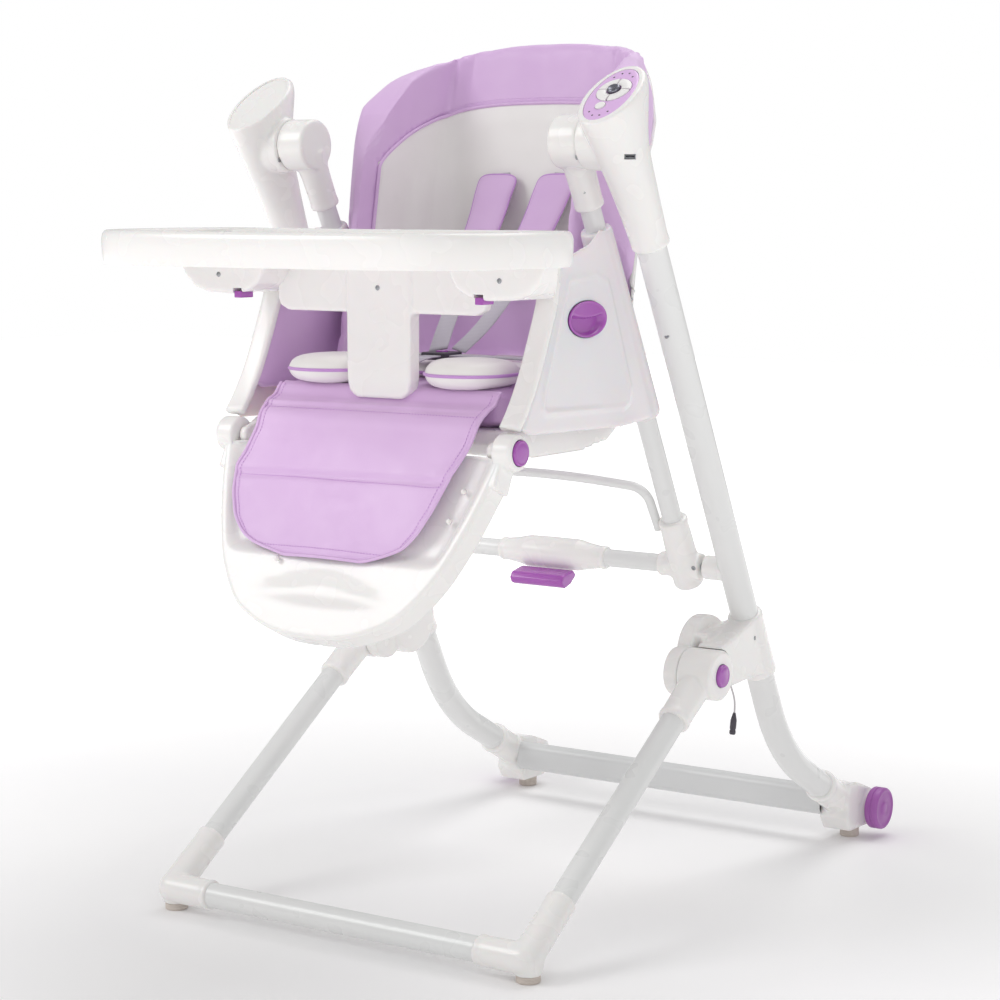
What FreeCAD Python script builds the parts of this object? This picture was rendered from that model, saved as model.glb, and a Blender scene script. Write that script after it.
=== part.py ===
import FreeCAD, Part
import math
import os
import Sketcher
from FreeCAD import Placement, Rotation, Vector

# Swinging baby high chair. Millimetres, +Z up, front towards -Y, right-hand side of the sheet towards +X.
# The origin is on the floor, in the middle of the chair's footprint box.

doc = FreeCAD.newDocument("HighChair")

# ---------------------------------------------------------------- driving dimensions
driving = {
    # main frame
    "legSpan": 262.0, "legRadius": 17.5, "tubeWall": 1.5, "leanAngle": 26.885,
    "linePointY": -88.8, "linePointZ": 812.0, "legTop": 840.0, "legJoin": 300.0,
    "rearBendY": 247.0, "rearBendZ": 149.5, "rearBendRadius": 240.0, "rearSlope": 29.0, "rearLegEndY": 402.0,
    "rearTubeY": 406.0, "rearTubeZ": 55.0, "rearTubeHeight": 40.0, "rearTubeDepth": 22.0,
    "wheelY": 465.0, "wheelZ": 39.6, "wheelRadius": 28.0, "wheelFace": 288.5, "wheelWidth": 19.0,
    "axleRadius": 4.0, "footY": 450.0, "footRadius": 13.0, "footHeight": 14.0,
    # head housings and their controls
    "headX": 254.0, "faceY": -161.0, "faceZ": 974.0, "faceLong": 57.0, "faceShort": 35.5, "faceSlope": 36.87,
    "collarRadius": 21.5, "collarZ": 805.0, "shellWall": 3.0, "bossRadius": 33.0,
    "panelLong": 48.7, "panelShort": 27.5, "panelThick": 3.0,
    "ringOuter": 21.0, "ringInner": 9.2, "ringUp": 8.0, "keyTravelGap": 1.3,
    "knobRadius": 7.5, "powerRadius": 6.3, "powerUp": -22.0, "powerAcross": -3.0,
    # front leg hinge
    "pivotY": 52.0, "pivotZ": 285.0, "pivotRadius": 6.0, "knuckleRadius": 31.0, "knuckleInner": 237.6,
    "knuckleOuter": 284.0, "foldButtonRadius": 14.0, "drumY": 105.0, "drumZ": 301.0, "drumRadius": 47.0,
    "drumInner": 214.0, "drumOuter": 237.0, "sleeveRadius": 21.5,
    # front legs
    "frontSpan": 257.0, "frontRadius": 15.0, "cornerY": -335.0, "cornerZ": 27.0, "bootRadius": 18.5,
    "frontFootY": -330.0, "frontFootHeight": 9.5,
    # swing
    "hubY": -145.0, "hubZ": 923.0, "hubRadius": 31.0, "hubInner": 176.0, "hubOuter": 214.6, "shaftRadius": 6.0,
    "swingSpan": 193.0, "swingRadius": 12.3, "swingTop": 866.0, "swingFoot": 440.0, "elbowRadius": 17.0,
    "elbowEnd": 849.0, "crossZ": 405.0, "crossRadius": 11.3, "bracketRadius": 19.0, "bracketTop": 467.0,
    "bracketFoot": 380.0, "lockFace": 224.7, "lockPinRadius": 5.0, "pedalHalf": 40.0, "housingHalf": 80.0,
    "housingRadius": 20.5, "stopBarRadius": 5.8,
    # seat
    "sleeveBore": 12.6, "seatSleeveRadius": 19.0, "seatSleeveFoot": 598.0, "seatSleeveTop": 824.0,
    "sideInner": 206.0, "sideWall": 3.0, "rimInner": 185.0, "rimOuter": 211.0, "baseHalf": 184.0,
    "cushionHalf": 168.0, "cushionFoot": 603.0, "cushionTop": 641.0, "insertTop": 664.0,
    "reclineZ": 620.0, "reclinePinRadius": 5.0,
    # backrest
    "backFoot": 655.0, "backTop": 1058.0, "backLean": 0.18,
    # footrest
    "footrestY": -280.0, "footrestZ": 580.0, "footrestLean": 26.0, "footrestLength": 240.0, "lobeRadius": 21.0,
    "footrestButtonRadius": 14.5,
    # tray
    "trayHalf": 275.0, "trayFront": -493.0, "trayRear": -225.0, "trayFoot": 785.0, "trayTop": 824.0,
    "postHalf": 39.0, "postFoot": 628.0, "postY": -262.0,
    # control cord
    "cordRadius": 1.1, "connectorRadius": 4.0,
}
sheet = doc.addObject("Spreadsheet::Sheet", "Sizes")
for row, (alias, value) in enumerate(driving.items(), start=1):
    sheet.set(f"A{row}", alias)
    sheet.set(f"B{row}", str(value))
    sheet.setAlias(f"B{row}", alias)
doc.recompute()


def size(alias):
    """The value of a driving dimension, read back from the sheet."""
    return float(sheet.get(alias))


lean = math.radians(size("leanAngle"))


def lineY(z):
    """Y of the sloping line that the main legs and the swing tubes share, at height z."""
    return size("linePointY") + (size("linePointZ") - z) * math.tan(lean)


# ---------------------------------------------------------------- helpers
def bind(item, **expressions):
    """Bind properties to formulas. A word starting with a capital S after a dot is a sheet cell."""
    for name, formula in expressions.items():
        item.setExpression(name, formula)
    return item


def cylinder(name, radius, height, base, axis=(0, 0, 1)):
    item = doc.addObject("Part::Cylinder", name)
    bind(item, Radius=radius, Height=height)
    item.Placement = Placement(Vector(*base), Rotation(Vector(0, 0, 1), Vector(*axis)))
    return item


def alongX(name, radius, start, end, y, z):
    """A cylinder along +X between two sheet formulas."""
    item = cylinder(name, radius, f"({end}) - ({start})", (0, y, z), (1, 0, 0))
    item.setExpression("Placement.Base.x", start)
    return item


def onLine(name, radius, span, low, high):
    """A cylinder on the sloping leg line, between two heights."""
    item = doc.addObject("Part::Cylinder", name)
    bind(item, Radius=radius, Height=f"(({high}) - ({low})) / cos(Sizes.leanAngle * 1deg)")
    item.Placement = Placement(Vector(0, 0, 0), Rotation(Vector(1, 0, 0), size("leanAngle")))
    item.setExpression("Placement.Base.x", span)
    item.setExpression("Placement.Base.y",
                       f"Sizes.linePointY + (Sizes.linePointZ - ({low})) * tan(Sizes.leanAngle * 1deg)")
    item.setExpression("Placement.Base.z", low)
    return item


def box(name, low, high):
    item = doc.addObject("Part::Box", name)
    item.Length, item.Width, item.Height = (h - l for h, l in zip(high, low))
    item.Placement.Base = Vector(*low)
    return item


def feature(name, shape):
    item = doc.addObject("Part::Feature", name)
    item.Shape = shape
    return item


def cut(name, base, tool):
    item = doc.addObject("Part::Cut", name)
    item.Base, item.Tool = base, tool
    return item


def fuse(name, pieces):
    item = doc.addObject("Part::MultiFuse", name)
    item.Shapes = pieces
    return item


def common(name, pieces):
    item = doc.addObject("Part::MultiCommon", name)
    item.Shapes = pieces
    return item


def mirrored(name, source):
    """The same piece on the other side of the chair."""
    item = doc.addObject("Part::Mirroring", name)
    item.Source = source
    item.Normal = Vector(1, 0, 0)
    item.Base = Vector(0, 0, 0)
    return item


nodes = []


def node(label, item):
    item.Label = label
    nodes.append(item)
    return item


def group(label, pieces):
    """One node that holds several separate solids."""
    item = doc.addObject("Part::Compound", label)
    item.Links = pieces
    return node(label, item)


def pair(label, source):
    return group(label, [source, mirrored(f"{source.Name}Left", source)])


def bothSides(label, source):
    """Right and left pieces as two nodes."""
    node(f"{label}_right", source)
    return node(f"{label}_left", mirrored(f"{source.Name}Left", source))


def wire(points, closed=True):
    vectors = [Vector(*p) for p in points]
    if closed:
        vectors.append(vectors[0])
    return Part.makePolygon(vectors)


def prismX(name, outline, start, end):
    """A plate with a (y, z) outline, from x = start to x = end."""
    face = Part.Face(wire([(start, y, z) for y, z in outline]))
    return feature(name, face.extrude(Vector(end - start, 0, 0)))


def smoothWire(points, closed=True):
    """A smooth closed curve through points."""
    curve = Part.BSplineCurve()
    curve.interpolate([Vector(*p) for p in points], PeriodicFlag=closed)
    return Part.Wire(curve.toShape())


def bentPath(points, radii):
    """Straight runs joined by tangent arcs, one radius for each inner point."""
    points = [Vector(*p) for p in points]
    edges = []
    start = points[0]
    for i, radius in enumerate(radii, start=1):
        back = (points[i - 1] - points[i]).normalize()
        ahead = (points[i + 1] - points[i]).normalize()
        halfTurn = (math.pi - back.getAngle(ahead)) / 2
        reach = radius * math.tan(halfTurn)
        enter = points[i] + back * reach
        leave = points[i] + ahead * reach
        middle = points[i] + (back + ahead).normalize() * (radius / math.cos(halfTurn) - radius)
        edges.append(Part.LineSegment(start, enter).toShape())
        edges.append(Part.Arc(enter, middle, leave).toShape())
        start = leave
    edges.append(Part.LineSegment(start, points[-1]).toShape())
    return Part.Wire(edges)


def pipe(path, radius):
    first = path.Edges[0]
    start = first.valueAt(first.FirstParameter)
    ahead = first.tangentAt(first.FirstParameter)
    ring = Part.Wire(Part.makeCircle(radius, start, ahead))
    return path.makePipeShell([ring], True, False)


def hollowPipe(name, path, radius, wall):
    return feature(name, pipe(path, radius).cut(pipe(path, radius - wall)))


def padBody(name, plane, drawSketch, length, offset="0", middle=False):
    """A PartDesign body with one sketch on an origin plane, padded by a sheet formula."""
    body = doc.addObject("PartDesign::Body", name)
    sketch = body.newObject("Sketcher::SketchObject", f"{name}Sketch")
    support = next(f for f in body.Origin.OriginFeatures if f.Role == plane)
    sketch.AttachmentSupport = [(support, "")]
    sketch.MapMode = "FlatFace"
    sketch.setExpression("AttachmentOffset.Base.z", offset)
    drawSketch(sketch)
    pad = body.newObject("PartDesign::Pad", f"{name}Pad")
    pad.Profile = sketch
    pad.setExpression("Length", length)
    pad.Midplane = middle
    body.Tip = pad
    return body


def circleSketch(radius, u="0", v="0"):
    """Draws one circle whose radius and centre are sheet formulas."""
    def draw(sketch):
        sketch.addGeometry(Part.Circle(Vector(1, 1, 0), Vector(0, 0, 1), 5), False)
        names = ("radius", "centreU", "centreV")
        sketch.addConstraint(Sketcher.Constraint("Radius", 0, 5))
        sketch.addConstraint(Sketcher.Constraint("DistanceX", -1, 1, 0, 3, 1))
        sketch.addConstraint(Sketcher.Constraint("DistanceY", -1, 1, 0, 3, 1))
        for index, (label, formula) in enumerate(zip(names, (radius, u, v))):
            sketch.renameConstraint(index, label)
            sketch.setExpression(f"Constraints.{label}", formula)
    return draw


def outlineSketch(points):
    """Draws a closed outline of straight edges."""
    def draw(sketch):
        corners = [Vector(u, v, 0) for u, v in points]
        for i, corner in enumerate(corners):
            sketch.addGeometry(Part.LineSegment(corner, corners[(i + 1) % len(corners)]), False)
    return draw


# ---------------------------------------------------------------- main frame
def makeLegs():
    outer = onLine("UpperLegOuter", "Sizes.legRadius", "Sizes.legSpan", "Sizes.legJoin", "Sizes.legTop")
    inner = onLine("UpperLegInner", "Sizes.legRadius - Sizes.tubeWall", "Sizes.legSpan",
                   "Sizes.legJoin", "Sizes.legTop")
    pair("upper_legs", cut("UpperLeg", outer, inner))
    x, start = size("legSpan"), size("legJoin") - 0.5
    slope = math.radians(size("rearSlope"))
    endY = size("rearLegEndY")
    endZ = size("rearBendZ") - (endY - size("rearBendY")) * math.tan(slope)
    path = bentPath([(x, lineY(start), start), (x, size("rearBendY"), size("rearBendZ")), (x, endY, endZ)],
                    [size("rearBendRadius")])
    pair("rear_legs", hollowPipe("RearLeg", path, size("legRadius"), size("tubeWall")))
    return endY, endZ


def makeRearEnds(legEnd):
    """End pieces that take the curved legs, the cross tube, the wheels' axles and the rear feet."""
    endY, endZ = legEnd
    x = size("legSpan")
    slope = math.radians(size("rearSlope"))
    back = Vector(0, -math.cos(slope), math.sin(slope))
    block = padBody("RearEndBlock", "YZ_Plane",
                    outlineSketch([(endY - 4, 34), (endY + 8, 14.3), (endY + 62, 14.3), (endY + 78, 27),
                                   (endY + 80, 50), (endY + 70, 66), (endY + 30, 77), (endY + 6, 80)]),
                    "44", "Sizes.legSpan - 22")
    sleeve = cylinder("RearEndSleeve", "Sizes.sleeveRadius", "62", (x, endY + 12, endZ - 12 * math.tan(slope)),
                      tuple(back))
    body = fuse("RearEndBody", [block, sleeve])
    socket = cylinder("RearEndSocket", "Sizes.legRadius + 0.05", "120", (x, endY, endZ), tuple(back))
    tenon = box("RearEndTenonSlot", (x - 23, size("rearTubeY") - 11.2, 34.8), (x - 12, size("rearTubeY") + 11.2, 75.2))
    axle = alongX("RearEndAxleHole", "Sizes.axleRadius", "Sizes.legSpan - 4", "Sizes.legSpan + 30",
                  size("wheelY"), size("wheelZ"))
    tools = fuse("RearEndTools", [socket, tenon, axle])
    pair("rear_ends", cut("RearEnd", body, tools))


def makeRearTube():
    """Flattened oval tube between the two rear end pieces."""
    height, depth, wall = size("rearTubeHeight"), size("rearTubeDepth"), size("tubeWall")
    half = size("legSpan") - 18.2

    def oval(inset):
        r = depth / 2 - inset
        straight = height / 2 - depth / 2
        y, z = size("rearTubeY"), size("rearTubeZ")
        right = Part.Arc(Vector(-half, y - r, z + straight), Vector(-half, y, z + straight + r),
                         Vector(-half, y + r, z + straight)).toShape()
        left = Part.Arc(Vector(-half, y + r, z - straight), Vector(-half, y, z - straight - r),
                        Vector(-half, y - r, z - straight)).toShape()
        sides = [Part.LineSegment(Vector(-half, y + s * r, z + straight),
                                  Vector(-half, y + s * r, z - straight)).toShape() for s in (1, -1)]
        return Part.Face(Part.Wire(Part.__sortEdges__([right, left, *sides]))).extrude(Vector(2 * half, 0, 0))

    node("rear_cross_tube", feature("RearCrossTube", oval(0).cut(oval(wall))))


def makeRearFeetAndWheels():
    foot = padBody("RearFoot", "XY_Plane", circleSketch("Sizes.footRadius", "Sizes.legSpan", "Sizes.footY"),
                   "Sizes.footHeight")
    pair("rear_feet", foot)
    disc = alongX("WheelDisc", "Sizes.wheelRadius", "Sizes.wheelFace", "Sizes.wheelFace + Sizes.wheelWidth",
                  size("wheelY"), size("wheelZ"))
    bore = alongX("WheelBore", "Sizes.axleRadius + 0.08", "Sizes.wheelFace - 1",
                  "Sizes.wheelFace + Sizes.wheelWidth - 3", size("wheelY"), size("wheelZ"))
    bothSides("wheel", cut("Wheel", disc, bore))


def makePins():
    """Steel pins of the front leg hinges, and the wheels' axles."""
    axle = alongX("WheelAxle", "Sizes.axleRadius", "Sizes.legSpan - 4", "Sizes.wheelFace + Sizes.wheelWidth - 4",
                  size("wheelY"), size("wheelZ"))
    pin = alongX("FoldPin", "Sizes.pivotRadius", "Sizes.drumInner + 4", "Sizes.knuckleOuter - 14",
                 size("pivotY"), size("pivotZ"))
    both = doc.addObject("Part::Compound", "PinsRight")
    both.Links = [axle, pin]
    pair("steel_pins", both)


def makeHingeHousings():
    """Housings clamped round the legs. Each carries the front leg's hinge pin on its inner cheek."""
    x = size("legSpan")
    low, high = 266.0, 347.0
    sleeve = onLine("HousingSleeve", "Sizes.sleeveRadius", "Sizes.legSpan", str(low), str(high))
    web = prismX("HousingWeb", [(60, 318), (lineY(336), 342), (lineY(336) + 12, 330), (lineY(272) + 10, 272),
                                (110, 270), (84, 266), (70, 280)], x - 17, x + 17)
    drum = alongX("HousingDrum", "Sizes.drumRadius", "Sizes.drumInner", "Sizes.drumOuter",
                  size("drumY"), size("drumZ"))
    bridge = prismX("HousingBridge", [(80, 312), (lineY(325), 330), (lineY(280), 280), (95, 272)],
                    size("drumOuter") - 3, x - 16)
    cheek = alongX("HousingCheek", "Sizes.knuckleRadius - 1", "Sizes.drumInner + 4", "Sizes.drumOuter",
                   size("pivotY"), size("pivotZ"))
    body = fuse("HousingBody", [sleeve, web, drum, bridge, cheek])
    sweep = alongX("HousingSweep", "Sizes.knuckleRadius + 1", "Sizes.drumOuter", "Sizes.legSpan + 40",
                   size("pivotY"), size("pivotZ"))
    bore = onLine("HousingBore", "Sizes.legRadius + 0.05", "Sizes.legSpan", str(low - 30), str(high + 30))
    pin = alongX("HousingPinHole", "Sizes.pivotRadius", "Sizes.drumInner + 4", "Sizes.drumOuter + 5",
                 size("pivotY"), size("pivotZ"))
    tools = fuse("HousingTools", [sweep, bore, pin])
    pair("hinge_housings", cut("Housing", body, tools))


def makeLockStubs():
    """Short bushes on the legs' inner faces, which the swing's lock pins enter."""
    y, z = lineY(size("crossZ")), size("crossZ")
    stub = alongX("StubBody", "15", "Sizes.lockFace + 0.4", "Sizes.legSpan - 8", y, z)
    bore = alongX("StubBore", "Sizes.lockPinRadius + 0.3", "Sizes.lockFace", "Sizes.lockFace + 12", y, z)
    leg = onLine("StubLeg", "Sizes.legRadius + 0.05", "Sizes.legSpan", "360", "450")
    pair("lock_stubs", cut("Stub", stub, fuse("StubTools", [bore, leg])))


# ---------------------------------------------------------------- head housings
faceTurn = Rotation(Vector(1, 0, 0), size("faceSlope"))
faceUp = faceTurn.multVec(Vector(0, 0, 1))
faceLongWay = faceTurn.multVec(Vector(0, 1, 0))
faceCentre = Vector(size("headX"), size("faceY"), size("faceZ"))


def oval(centre, normal, longWay, long, short):
    """An oval wire whose long axis follows longWay."""
    curve = Part.Ellipse(Vector(0, 0, 0), long, short)
    shape = curve.toShape()
    turn = Rotation(longWay, normal.cross(longWay), normal, "XYZ")
    shape.Placement = Placement(centre, turn)
    return Part.Wire(shape)


def headLoft(inset, lowZ):
    """The head's flaring body: a round collar on the leg line that opens to the oval face."""
    up = Vector(0, -math.sin(lean), math.cos(lean))
    rear = Vector(0, math.cos(lean), math.sin(lean))
    x = size("legSpan")
    sections = []
    for z, across, along in ((lowZ, size("collarRadius"), size("collarRadius") + 0.1), (868, 25.0, 28.0),
                             (915, 28.5, 37.0)):
        shift = (x - size("headX")) * (z - size("collarZ")) / (size("faceZ") - size("collarZ"))
        sections.append(oval(Vector(x - shift, lineY(z), z), up, rear, along - inset, across - inset))
    sections.append(oval(faceCentre - faceUp * (12 + inset), faceUp, faceLongWay, size("faceLong") - inset - 1,
                         size("faceShort") - inset - 1))
    sections.append(oval(faceCentre - faceUp * inset, faceUp, faceLongWay, size("faceLong") - inset - 2,
                         size("faceShort") - inset - 2))
    return Part.makeLoft(sections, True, False)


def makeHeads():
    wall = size("shellWall")
    outer = feature("HeadOuter", headLoft(0, size("collarZ")))
    boss = alongX("HeadBoss", "Sizes.bossRadius", "Sizes.hubOuter + 0.4", "Sizes.headX", size("hubY"), size("hubZ"))
    body = fuse("HeadBody", [outer, boss])
    cavity = feature("HeadCavity", headLoft(wall, 846.0))
    lidSpace = box("HeadLidSpace", (150, -260, 900), (350, -60, 1100))
    lidSpace.Placement = Placement(faceCentre - faceUp * 6.5, faceTurn).multiply(
        Placement(Vector(-100, -100, 0), Rotation()))
    cavityUnderLid = cut("HeadCavityUnderLid", cavity, lidSpace)
    leg = onLine("HeadLegHole", "Sizes.legRadius + 0.05", "Sizes.legSpan", "780", "Sizes.legTop + 0.5")
    shaft = alongX("HeadShaftHole", "Sizes.shaftRadius", "Sizes.hubOuter", "Sizes.headX - 20",
                   size("hubY"), size("hubZ"))
    plain = cut("HeadPlain", body, fuse("HeadTools", [cavityUnderLid, leg, shaft]))
    recess = feature("HeadRecess", Part.Face(oval(faceCentre - faceUp * size("panelThick"), faceUp, faceLongWay,
                                                  size("panelLong") + 0.05, size("panelShort") + 0.05))
                     .extrude(faceUp * 20))
    socket = feature("HeadSocketHole", socketBox(0.05))
    right = cut("HeadRight", plain, fuse("HeadRightTools", [recess, socket]))
    group("head_shells", [right, mirrored("HeadLeft", plain)])


def socketBox(clearance):
    """The charging socket's block, set in the head's front wall."""
    out = Vector(math.cos(math.radians(-58)), math.sin(math.radians(-58)), 0)
    shape = Part.makeBox(8 + 2 * clearance, 13 + 2 * clearance, 5.5 + 2 * clearance,
                         Vector(-8, -6.5 - clearance, -2.75 - clearance))
    shape.Placement = Placement(Vector(size("legSpan"), lineY(900), 905) + out * 31.0,
                                Rotation(Vector(0, 0, 1), -58)).multiply(shape.Placement)
    return shape


def onFace(along, across, depth):
    """A point on the control panel: along its long axis, across it, and under its surface."""
    return faceCentre + faceLongWay * along + Vector(1, 0, 0) * across - faceUp * depth


def makePanel():
    thick = size("panelThick")
    plate = feature("PanelPlate", Part.Face(oval(onFace(0, 0, thick), faceUp, faceLongWay, size("panelLong"),
                                                 size("panelShort"))).extrude(faceUp * (thick + 0.4)))
    well = feature("PanelWell", Part.makeCylinder(size("ringOuter") + 0.4, 9, onFace(size("ringUp"), 0, 1.6), faceUp))
    keyWell = feature("PanelKeyWell", Part.makeCylinder(size("powerRadius") + 0.4, 9,
                                                        onFace(size("powerUp"), size("powerAcross"), 1.6), faceUp))
    node("control_panel", cut("Panel", plate, fuse("PanelWells", [well, keyWell])))
    gap = size("keyTravelGap")
    ringBase = onFace(size("ringUp"), 0, 1.6 - gap)
    ring = Part.makeCylinder(size("ringOuter"), 2.4, ringBase, faceUp)
    ring = ring.cut(Part.makeCylinder(size("ringInner"), 9, ringBase - faceUp, faceUp))
    node("panel_ring", feature("PanelRing", ring))
    knob = Part.makeCylinder(size("knobRadius"), 5.5, ringBase, faceUp)
    node("panel_knob", feature("PanelKnob", knob))
    key = Part.makeCylinder(size("powerRadius"), 2.4, onFace(size("powerUp"), size("powerAcross"), 1.6 - gap), faceUp)
    node("panel_button", feature("PanelButton", key))
    node("panel_socket", feature("PanelSocket", socketBox(0)))


def makeElectronics():
    motor = alongX("Motor", "15", "Sizes.headX - 19.5", "Sizes.headX + 12", size("hubY"), size("hubZ"))
    node("drive_motor", motor)
    board = doc.addObject("Part::Box", "Board")
    board.Length, board.Width, board.Height = 36, 62, 1.6
    board.Placement = Placement(onFace(0, 0, 14), faceTurn).multiply(Placement(Vector(-18, -31, 0), Rotation()))
    node("control_board", board)
    shaft = alongX("SwingShaft", "Sizes.shaftRadius", "Sizes.hubInner + 2", "Sizes.headX - 20",
                   size("hubY"), size("hubZ"))
    pair("swing_shafts", shaft)


# ---------------------------------------------------------------- front legs
frontWay = Vector(0, size("cornerY") - size("pivotY"), size("cornerZ") - size("pivotZ")).normalize()
frontLength = math.hypot(size("cornerY") - size("pivotY"), size("cornerZ") - size("pivotZ"))


def onFrontLeg(name, radius, start, end):
    """A cylinder on the front leg's axis, between two distances from the pivot."""
    base = Vector(size("frontSpan"), size("pivotY"), size("pivotZ")) + frontWay * start
    return cylinder(name, radius, str(end - start), tuple(base), tuple(frontWay))


def makeFrontLegs():
    outer = onFrontLeg("FrontTubeOuter", "Sizes.frontRadius", 40, frontLength - 22)
    inner = onFrontLeg("FrontTubeInner", "Sizes.frontRadius - Sizes.tubeWall", 40, frontLength - 22)
    pair("front_leg_tubes", cut("FrontTube", outer, inner))

    collar = onFrontLeg("KnuckleCollar", "19.2", 0, 85)
    drum = alongX("KnuckleDrum", "Sizes.knuckleRadius", "Sizes.knuckleInner", "Sizes.knuckleOuter",
                  size("pivotY"), size("pivotZ"))
    body = fuse("KnuckleBody", [collar, drum])
    socket = onFrontLeg("KnuckleSocket", "Sizes.frontRadius + 0.05", 39.9, 90)
    pin = alongX("KnucklePinHole", "Sizes.pivotRadius + 0.08", "Sizes.knuckleInner - 1", "Sizes.knuckleOuter - 13",
                 size("pivotY"), size("pivotZ"))
    well = alongX("KnuckleButtonWell", "Sizes.foldButtonRadius + 0.3", "Sizes.knuckleOuter - 8",
                  "Sizes.knuckleOuter + 1", size("pivotY"), size("pivotZ"))
    pair("fold_knuckles", cut("Knuckle", body, fuse("KnuckleTools", [socket, pin, well])))

    button = alongX("FoldButton", "Sizes.foldButtonRadius", "Sizes.knuckleOuter - 4", "Sizes.knuckleOuter + 4",
                    size("pivotY"), size("pivotZ"))
    bothSides("fold_button", button)

    shin = onFrontLeg("BootShin", "Sizes.bootRadius", frontLength - 88, frontLength)
    arm = alongX("BootArm", "Sizes.bootRadius", "Sizes.frontSpan - 62", "Sizes.frontSpan",
                 size("cornerY"), size("cornerZ"))
    ball = doc.addObject("Part::Sphere", "BootBall")
    ball.setExpression("Radius", "Sizes.bootRadius")
    ball.Placement.Base = Vector(size("frontSpan"), size("cornerY"), size("cornerZ"))
    boot = fuse("BootBody", [shin, arm, ball])
    shinHole = onFrontLeg("BootShinHole", "Sizes.frontRadius + 0.05", frontLength - 90, frontLength - 21.9)
    armHole = alongX("BootArmHole", "Sizes.frontRadius + 0.05", "Sizes.frontSpan - 64", "Sizes.frontSpan - 21.9",
                     size("cornerY"), size("cornerZ"))
    footSeat = cylinder("BootFootSeat", "14.2", "20",
                        (size("frontSpan"), size("frontFootY"), size("frontFootHeight") - 20))
    pair("front_boots", cut("Boot", boot, fuse("BootTools", [shinHole, armHole, footSeat])))

    bar = alongX("FrontBarOuter", "Sizes.frontRadius", "22 - Sizes.frontSpan", "Sizes.frontSpan - 22",
                 size("cornerY"), size("cornerZ"))
    barInner = alongX("FrontBarInner", "Sizes.frontRadius - Sizes.tubeWall", "22 - Sizes.frontSpan",
                      "Sizes.frontSpan - 22", size("cornerY"), size("cornerZ"))
    node("front_cross_tube", cut("FrontBar", bar, barInner))
    foot = padBody("FrontFoot", "XY_Plane", circleSketch("14", "Sizes.frontSpan", "Sizes.frontFootY"),
                   "Sizes.frontFootHeight")
    pair("front_feet", foot)


# ---------------------------------------------------------------- swing
def makeSwing():
    crossY, crossZ = lineY(size("crossZ")), size("crossZ")
    hub = alongX("ElbowHub", "Sizes.hubRadius", "Sizes.hubInner", "Sizes.hubOuter", size("hubY"), size("hubZ"))
    arm = onLine("ElbowArm", "Sizes.elbowRadius", "Sizes.swingSpan", "Sizes.elbowEnd", "Sizes.hubZ - 10")
    elbow = fuse("ElbowBody", [hub, arm])
    shaft = alongX("ElbowBore", "Sizes.shaftRadius + 0.08", "Sizes.hubInner + 1.9", "Sizes.hubOuter + 1",
                   size("hubY"), size("hubZ"))
    socket = onLine("ElbowSocket", "Sizes.swingRadius + 0.02", "Sizes.swingSpan", "800", "Sizes.swingTop")
    pair("swing_elbows", cut("Elbow", elbow, fuse("ElbowTools", [shaft, socket])))

    outer = onLine("SwingTubeOuter", "Sizes.swingRadius", "Sizes.swingSpan", "Sizes.swingFoot", "Sizes.swingTop")
    inner = onLine("SwingTubeInner", "Sizes.swingRadius - Sizes.tubeWall", "Sizes.swingSpan",
                   "Sizes.swingFoot", "Sizes.swingTop")
    pair("swing_tubes", cut("SwingTube", outer, inner))

    sleeve = onLine("BracketSleeve", "Sizes.bracketRadius", "Sizes.swingSpan", "Sizes.bracketFoot",
                    "Sizes.bracketTop")
    arm = alongX("BracketArm", "17", "Sizes.swingSpan - 30", "Sizes.lockFace", crossY, crossZ)
    bracket = fuse("BracketBody", [sleeve, arm])
    socket = onLine("BracketSocket", "Sizes.swingRadius + 0.02", "Sizes.swingSpan", "Sizes.swingFoot", "480")
    cross = alongX("BracketCrossHole", "Sizes.crossRadius + 0.02", "140", "Sizes.swingSpan - 9.9", crossY, crossZ)
    pinHole = alongX("BracketPinHole", "Sizes.lockPinRadius + 0.3", "Sizes.swingSpan - 9.9",
                     "Sizes.lockFace + 1", crossY, crossZ)
    bar = feature("BracketBarHole", pipe(stopBarPath(), size("stopBarRadius") + 0.02))
    pair("swing_brackets", cut("Bracket", bracket, fuse("BracketTools", [socket, cross, pinHole, bar])))

    tube = alongX("CrossOuter", "Sizes.crossRadius", "10 - Sizes.swingSpan", "Sizes.swingSpan - 10", crossY, crossZ)
    hole = alongX("CrossInner", "Sizes.crossRadius - Sizes.tubeWall", "10 - Sizes.swingSpan",
                  "Sizes.swingSpan - 10", crossY, crossZ)
    node("swing_cross_tube", cut("Cross", tube, hole))
    pin = alongX("LockPin", "Sizes.lockPinRadius", "Sizes.lockFace - 30", "Sizes.lockFace - 0.5", crossY, crossZ)
    bothSides("lock_pin", pin)

    barrel = alongX("HousingBarrel", "Sizes.housingRadius", "-0.6 * Sizes.housingHalf", "0.6 * Sizes.housingHalf",
                    crossY, crossZ)
    ends = alongX("HousingEnds", "Sizes.housingRadius - 5", "-Sizes.housingHalf", "Sizes.housingHalf", crossY, crossZ)
    bore = alongX("PedalHousingBore", "Sizes.crossRadius + 0.02", "-100", "100", crossY, crossZ)
    node("pedal_housing", cut("PedalHousing", fuse("PedalHousingBody", [barrel, ends]), bore))
    pedal = padBody("Pedal", "YZ_Plane",
                    outlineSketch([(crossY - 18, 388), (crossY - 42, 383), (crossY - 46, 373), (crossY - 38, 366),
                                   (crossY - 22, 371), (crossY - 9, 381)]),
                    "2 * Sizes.pedalHalf", middle=True)
    node("swing_pedal", pedal)
    node("seat_stop_bar", feature("StopBar", pipe(stopBarPath(), size("stopBarRadius"))))


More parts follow.
